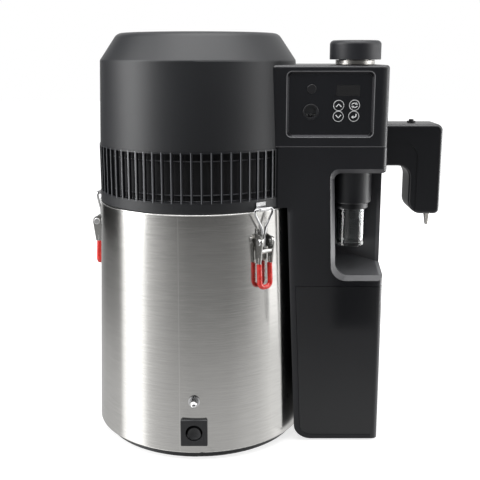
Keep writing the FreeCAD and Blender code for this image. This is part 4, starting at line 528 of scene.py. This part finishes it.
# Rings round the keys and arrows on them: white ink, screen-printed on the fascia and the keys.
# Each is a thin band that lies just off the face it is printed on.
KEY_PLACES = {"up": (0.1343, 0.3394), "down": (0.1341, 0.3292),
              "swap": (0.1491, 0.3396), "enter": (0.1487, 0.3294)}
INK_LIFT = 0.00003
THIN_INK = (0.78, 0.79, 0.80)
FULL_INK = (0.92, 0.93, 0.94)
RING_R = 0.00479
RING_WIDTH = 0.00054
MARK_WIDTH = 0.00095
SWAP_WIDTH = 0.00075
TIP_END = 0.00005
CHEVRON = np.array([(-0.0025, -0.00135), (0.0, 0.00125), (0.0025, -0.00135)])
SWAP_LIFT = np.array([0.0, 0.00025])
SWAP_REACH = np.array([0.0026, 0.00175])
SWAP_TIP = np.array([(0.0010, 0.00155), (0.0030, 0.00035)])
SWAP_TIP_WIDTH = 0.0026
HOOK = np.array([(0.0020, 0.0021), (0.0020, 0.0005), (0.00175, -0.0002), (0.0012, -0.0007),
                 (0.0003, -0.00085), (-0.0007, -0.00085)])
HOOK_TIP = np.array([(-0.0004, -0.00085), (-0.0026, -0.00085)])
HOOK_TIP_WIDTH = 0.0031

ink = Finish("white_ink", Roughness=0.5)
ink.set(Base_Color=ink.noise(scale=6000).between(0.2, 0.7).blend(THIN_INK, FULL_INK))
fascia_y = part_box("control_panel")[0].y - INK_LIFT
key_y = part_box("key_up")[0].y - INK_LIFT


def printed_line(name, line, width, y, body):
    """Flat ink along a line in the panel's plane: each point is moved half a width either way along
    the line's normal, which is its direction turned a quarter."""
    run = np.gradient(line, axis=0)
    run /= np.linalg.norm(run, axis=1)[:, None]
    side = np.stack([-run[:, 1], run[:, 0]], 1) * np.asarray(width).reshape(-1, 1) / 2
    flat = np.stack([line + side, line - side], 1)
    points = np.concatenate([flat[..., :1], np.full(flat.shape[:2] + (1,), y), flat[..., 1:]], -1)
    made = surface(name, points, ink.material, smooth=False)
    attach(made, body)


def arc(start, end, count):
    """Points of a circle of radius 1 between two angles in degrees."""
    turn = np.radians(np.linspace(start, end, count))
    return np.stack([np.cos(turn), np.sin(turn)], 1)


for place, middle in KEY_PLACES.items():
    printed_line("key_ring_" + place, arc(0, 360, 49) * RING_R + middle, RING_WIDTH, fascia_y, "head")
for place, sign in (("up", 1), ("down", -1)):
    chevron = CHEVRON * (1, sign) + KEY_PLACES[place]
    printed_line("key_mark_" + place, chevron, MARK_WIDTH, key_y, "key_" + place)
for end, sign in (("a", 1), ("b", -1)):
    middle = SWAP_LIFT * sign + KEY_PLACES["swap"]
    bend = arc(168, 38, 20) * SWAP_REACH * sign + middle
    tip = SWAP_TIP * sign + middle
    printed_line("key_mark_swap_" + end, bend, SWAP_WIDTH, key_y, "key_swap")
    printed_line("key_tip_swap_" + end, tip, [SWAP_TIP_WIDTH, TIP_END], key_y, "key_swap")
printed_line("key_mark_enter", HOOK + KEY_PLACES["enter"], MARK_WIDTH, key_y, "key_enter")
printed_line("key_tip_enter", HOOK_TIP + KEY_PLACES["enter"], [HOOK_TIP_WIDTH, TIP_END], key_y, "key_enter")


# Sight glass and cap: a drawn glass cup held in the sleeve, lightly smoked, and over the steel neck
# a double-walled screw cap.
glass = Finish("clear_glass", Base_Color=(0.70, 0.72, 0.72), Transmission_Weight=1.0, Roughness=0.0, IOR=1.45)
glass.wear("sight_glass")
moulded("cap_black", (0.0072, 0.0076, 0.0102), rough=0.46, grain=2400, depth=0.00003).wear("screw_cap")


# Studio floor: a wide plane that shows as plain white, dimmed a little near the still as painted shade,
# and that keeps the still's shadow.
FLOOR_HALF = 6.0
FLOOR_NEAR = 0.2
FLOOR_FAR = 0.8
FLOOR_DIM = 0.72
FLOOR_GREY = (0.45, 0.45, 0.45)


def seen_plainly(wire):
    """1 for rays from the camera, and for those through glass that nothing has mirrored."""
    unmirrored = wire.node("ShaderNodeLightPath", out="Glossy Depth") < 0.5
    through = wire.node("ShaderNodeLightPath", out="Is Transmission Ray") * unmirrored
    return (wire.node("ShaderNodeLightPath", out="Is Camera Ray") + through).between(0, 1)


floor_material = bpy.data.materials.new("studio_floor")
floor_material.use_nodes = True
floor_material.node_tree.nodes.clear()
floor_wire = Wire(floor_material.node_tree)
spot = floor_wire.node("ShaderNodeTexCoord", out="Object")
spread = floor_wire.node("ShaderNodeVectorMath", {0: spot}, out="Value", operation="LENGTH")
# Painted shade: the floor's glow is dimmer near the still.
white = spread.between(FLOOR_NEAR, FLOOR_FAR, FLOOR_DIM, 1.0)
lit = floor_wire.node("ShaderNodeBsdfDiffuse", {"Color": FLOOR_GREY})
glow = floor_wire.node("ShaderNodeEmission", {"Strength": seen_plainly(floor_wire) * white})
both = floor_wire.node("ShaderNodeAddShader", {0: lit, 1: glow})
floor_output = floor_wire.tree.nodes.new("ShaderNodeOutputMaterial")
floor_wire.plug(floor_output.inputs["Surface"], both)
corners = np.array([[[-1, -1, 0], [1, -1, 0]], [[-1, 1, 0], [1, 1, 0]]]) * FLOOR_HALF
floor = surface("studio_floor", corners, floor_material, smooth=False)
floor.visible_glossy = False


# Room that the steel mirrors: degrees round from the camera, minus to the left, with the light of
# what is the same at every height, and of what is brighter low down.
STEADY = [(-180, 0.62), (-160, 0.48), (-146, 0.18), (-131, 0.05), (-104, 0.05), (-98, 0.25), (-94, 1.5),
          (-90, 2.0), (-64, 2.0), (-60, 0.95), (-49, 0.62), (-31, 0.28), (-10, 0.10), (34, 0.05), (53, 0.10),
          (66, 0.42), (84, 0.90), (95, 1.3), (110, 0.8), (130, 0.5), (180, 0.40)]
LOW_DOWN = [(-180, 0.10), (-160, 0.14), (-142, 0.46), (-128, 0.60), (-104, 0.66), (-97, 0.30), (-92, 0.0),
            (-62, 0.0), (-49, 0.16), (-31, 0.40), (-10, 0.54), (34, 0.60), (53, 0.68), (66, 0.40), (84, 0.15),
            (98, 0.0), (130, 0.20), (180, 0.40)]
RAMP_FULL = 2.0
LOW_SLOPE = (math.sin(math.radians(-22)), math.sin(math.radians(-13)))
LOW_LEFT = 0.30
HORIZON = (-0.08, 0.02)
HIGH_SLOPE = (0.42, 0.62)
HIGH_FRONT = (-0.30, -0.05)
HIGH_LIGHT = 2.4
MATT_LIGHT = 0.35

world = bpy.data.worlds.new("studio")
bpy.context.scene.world = world
world.use_nodes = True
sky = Wire(world.node_tree)
x, y, z = sky.node("ShaderNodeTexCoord", out="Generated").parts()
round_about = x.maths("ARCTAN2", y * -1.0) / (2 * math.pi) + 0.5


def ring(levels):
    """Light round the table: straight steps between the angles listed, scaled to fit a ramp."""
    return sky.node("ShaderNodeValToRGB", {"Fac": round_about},
                    stops=[((angle + 180) / 360, light / RAMP_FULL) for angle, light in levels])


below = (ring(STEADY) + ring(LOW_DOWN) * z.between(*LOW_SLOPE, 1.0, LOW_LEFT)) * RAMP_FULL
high_up = z.between(*HIGH_SLOPE) * y.until(*HIGH_FRONT) * HIGH_LIGHT
room = below + z.between(*HORIZON) * (1.0 - below) + high_up
mirrored = sky.node("ShaderNodeLightPath", out="Is Glossy Ray")
plainly = seen_plainly(sky)
matt = (1.0 - (plainly + mirrored).between(0, 1)) * MATT_LIGHT
background = world.node_tree.nodes["Background"]
sky.plug(background.inputs["Color"], (1, 1, 1))
sky.plug(background.inputs["Strength"], plainly + mirrored * room + matt)


# Cards that only reflections see: dark ones before and behind the still, and a white strip by the
# column's front edge that lights the steel's last few degrees before the gap.
STRIP_PLAN = np.array([[0.0838, -0.0720], [0.0838, -0.0576]])
STRIP_ENDS = ((0.010, 1.1477), (0.238, 1.0663))
STRIP_GLOW = (0.09, 0.16, 1.05, 1.6)


def unseen(made):
    """Leave a card to the reflections alone."""
    made.visible_camera = False
    made.visible_diffuse = False
    made.visible_shadow = False
    made.visible_transmission = False


def card(name, centre, wide, tall, turn):
    """Upright dark card, turned about the vertical: its middle, half its width and half its height."""
    across = np.array([math.cos(turn), math.sin(turn), 0]) * wide / 2
    rise = np.array([0, 0, tall / 2])
    middle = np.array(centre)
    points = [[middle - across + height, middle + across + height] for height in (-rise, rise)]
    unseen(surface(name, points, card_dark.material, smooth=False))


card_dark = Finish("dark_card", Base_Color=(0.02, 0.02, 0.02), Roughness=1.0)
card_light = Finish("light_card", Base_Color=(0, 0, 0), Emission_Color=(1, 1, 1))
card_light.set(Emission_Strength=card_light.at.parts()[2].between(*STRIP_GLOW))
card("card_front", centre=(0.1, -1.7, 0.84), wide=4.2, tall=1.6, turn=0.0)
card("card_left_back", centre=(-1.35, 0.82, 1.0), wide=1.3, tall=2.2, turn=math.radians(60))
strip = [np.column_stack([STRIP_PLAN * reach, [height, height]]) for height, reach in STRIP_ENDS]
unseen(surface("card_strip", strip, card_light.material, smooth=False))


# Cards in the niche: a dark one in front of the cup and a bright strip at each of its sides give
# the clear glass its dark middle and its two white lines.
DARK_Z = (0.11, 0.240)
BRIGHT_Z = (0.186, 0.238)


def upright_card(name, start, end, heights, finish):
    """Upright card between two points of the floor plan and two heights."""
    points = [[[*start, height], [*end, height]] for height in heights]
    unseen(surface(name, points, finish.material, smooth=False))


card_bright = Finish("bright_card", Base_Color=(0, 0, 0), Emission_Color=(1, 1, 1), Emission_Strength=7.0)
upright_card("card_cup_dark", (0.137, -0.092), (0.180, -0.092), DARK_Z, card_dark)
upright_card("card_cup_left", (0.1366, -0.0562), (0.1366, -0.0522), BRIGHT_Z, card_bright)
upright_card("card_cup_right", (0.1760, -0.0602), (0.1760, -0.0556), BRIGHT_Z, card_bright)


# Lamps: a soft box at each side and one above, and a small low one at the back right that draws
# the light rim on the niche and the column's edge.
def lamp(name, place, aim, wide, tall, power):
    """Rectangular soft lamp aimed at a point: pitched and turned so that its -Z axis runs to it."""
    data = bpy.data.lights.new(name, "AREA")
    data.shape = "RECTANGLE"
    data.size = wide
    data.size_y = tall
    data.energy = power
    made = bpy.data.objects.new(name, data)
    bpy.context.scene.collection.objects.link(made)
    made.location = place
    way = np.array(aim) - np.array(place)
    made.rotation_euler = (math.atan2(math.hypot(way[0], way[1]), -way[2]), 0, math.atan2(-way[0], way[1]))


lamp("lamp_left", place=(-1.404, -0.363, 0.75), aim=(0.0, 0.0, 0.22), wide=0.914, tall=1.5, power=26)
lamp("lamp_right", place=(1.57, -0.28, 0.75), aim=(0.0, 0.0, 0.22), wide=0.9, tall=1.5, power=10)
lamp("lamp_top", place=(0.1, -0.15, 1.9), aim=(0.05, 0.0, 0.2), wide=1.7, tall=1.1, power=27)
lamp("lamp_rim", place=(0.62, 0.10, 0.155), aim=(0.18, -0.05, 0.30), wide=0.34, tall=0.29, power=2.4)


# Camera: its place, tilt and lens are fitted from the still's rims and edges, and the shifts frame
# the still as the photograph does.
CAMERA_AT = (0.04242, -0.81973, 0.38590)
LOOKING_DOWN = math.radians(12.204)
LENS_MM = 59.91
FILM_MM = 36.0
SHIFT = (-0.0013, -0.0262)
NEAREST = 0.01

lens_data = bpy.data.cameras.new("camera")
lens_data.lens = LENS_MM
lens_data.sensor_width = FILM_MM
lens_data.shift_x, lens_data.shift_y = SHIFT
lens_data.clip_start = NEAREST
camera = bpy.data.objects.new("camera", lens_data)
bpy.context.scene.collection.objects.link(camera)
camera.location = CAMERA_AT
camera.rotation_euler = (math.pi / 2 - LOOKING_DOWN, 0, 0)
bpy.context.scene.camera = camera
bpy.context.scene.view_settings.view_transform = "Standard"
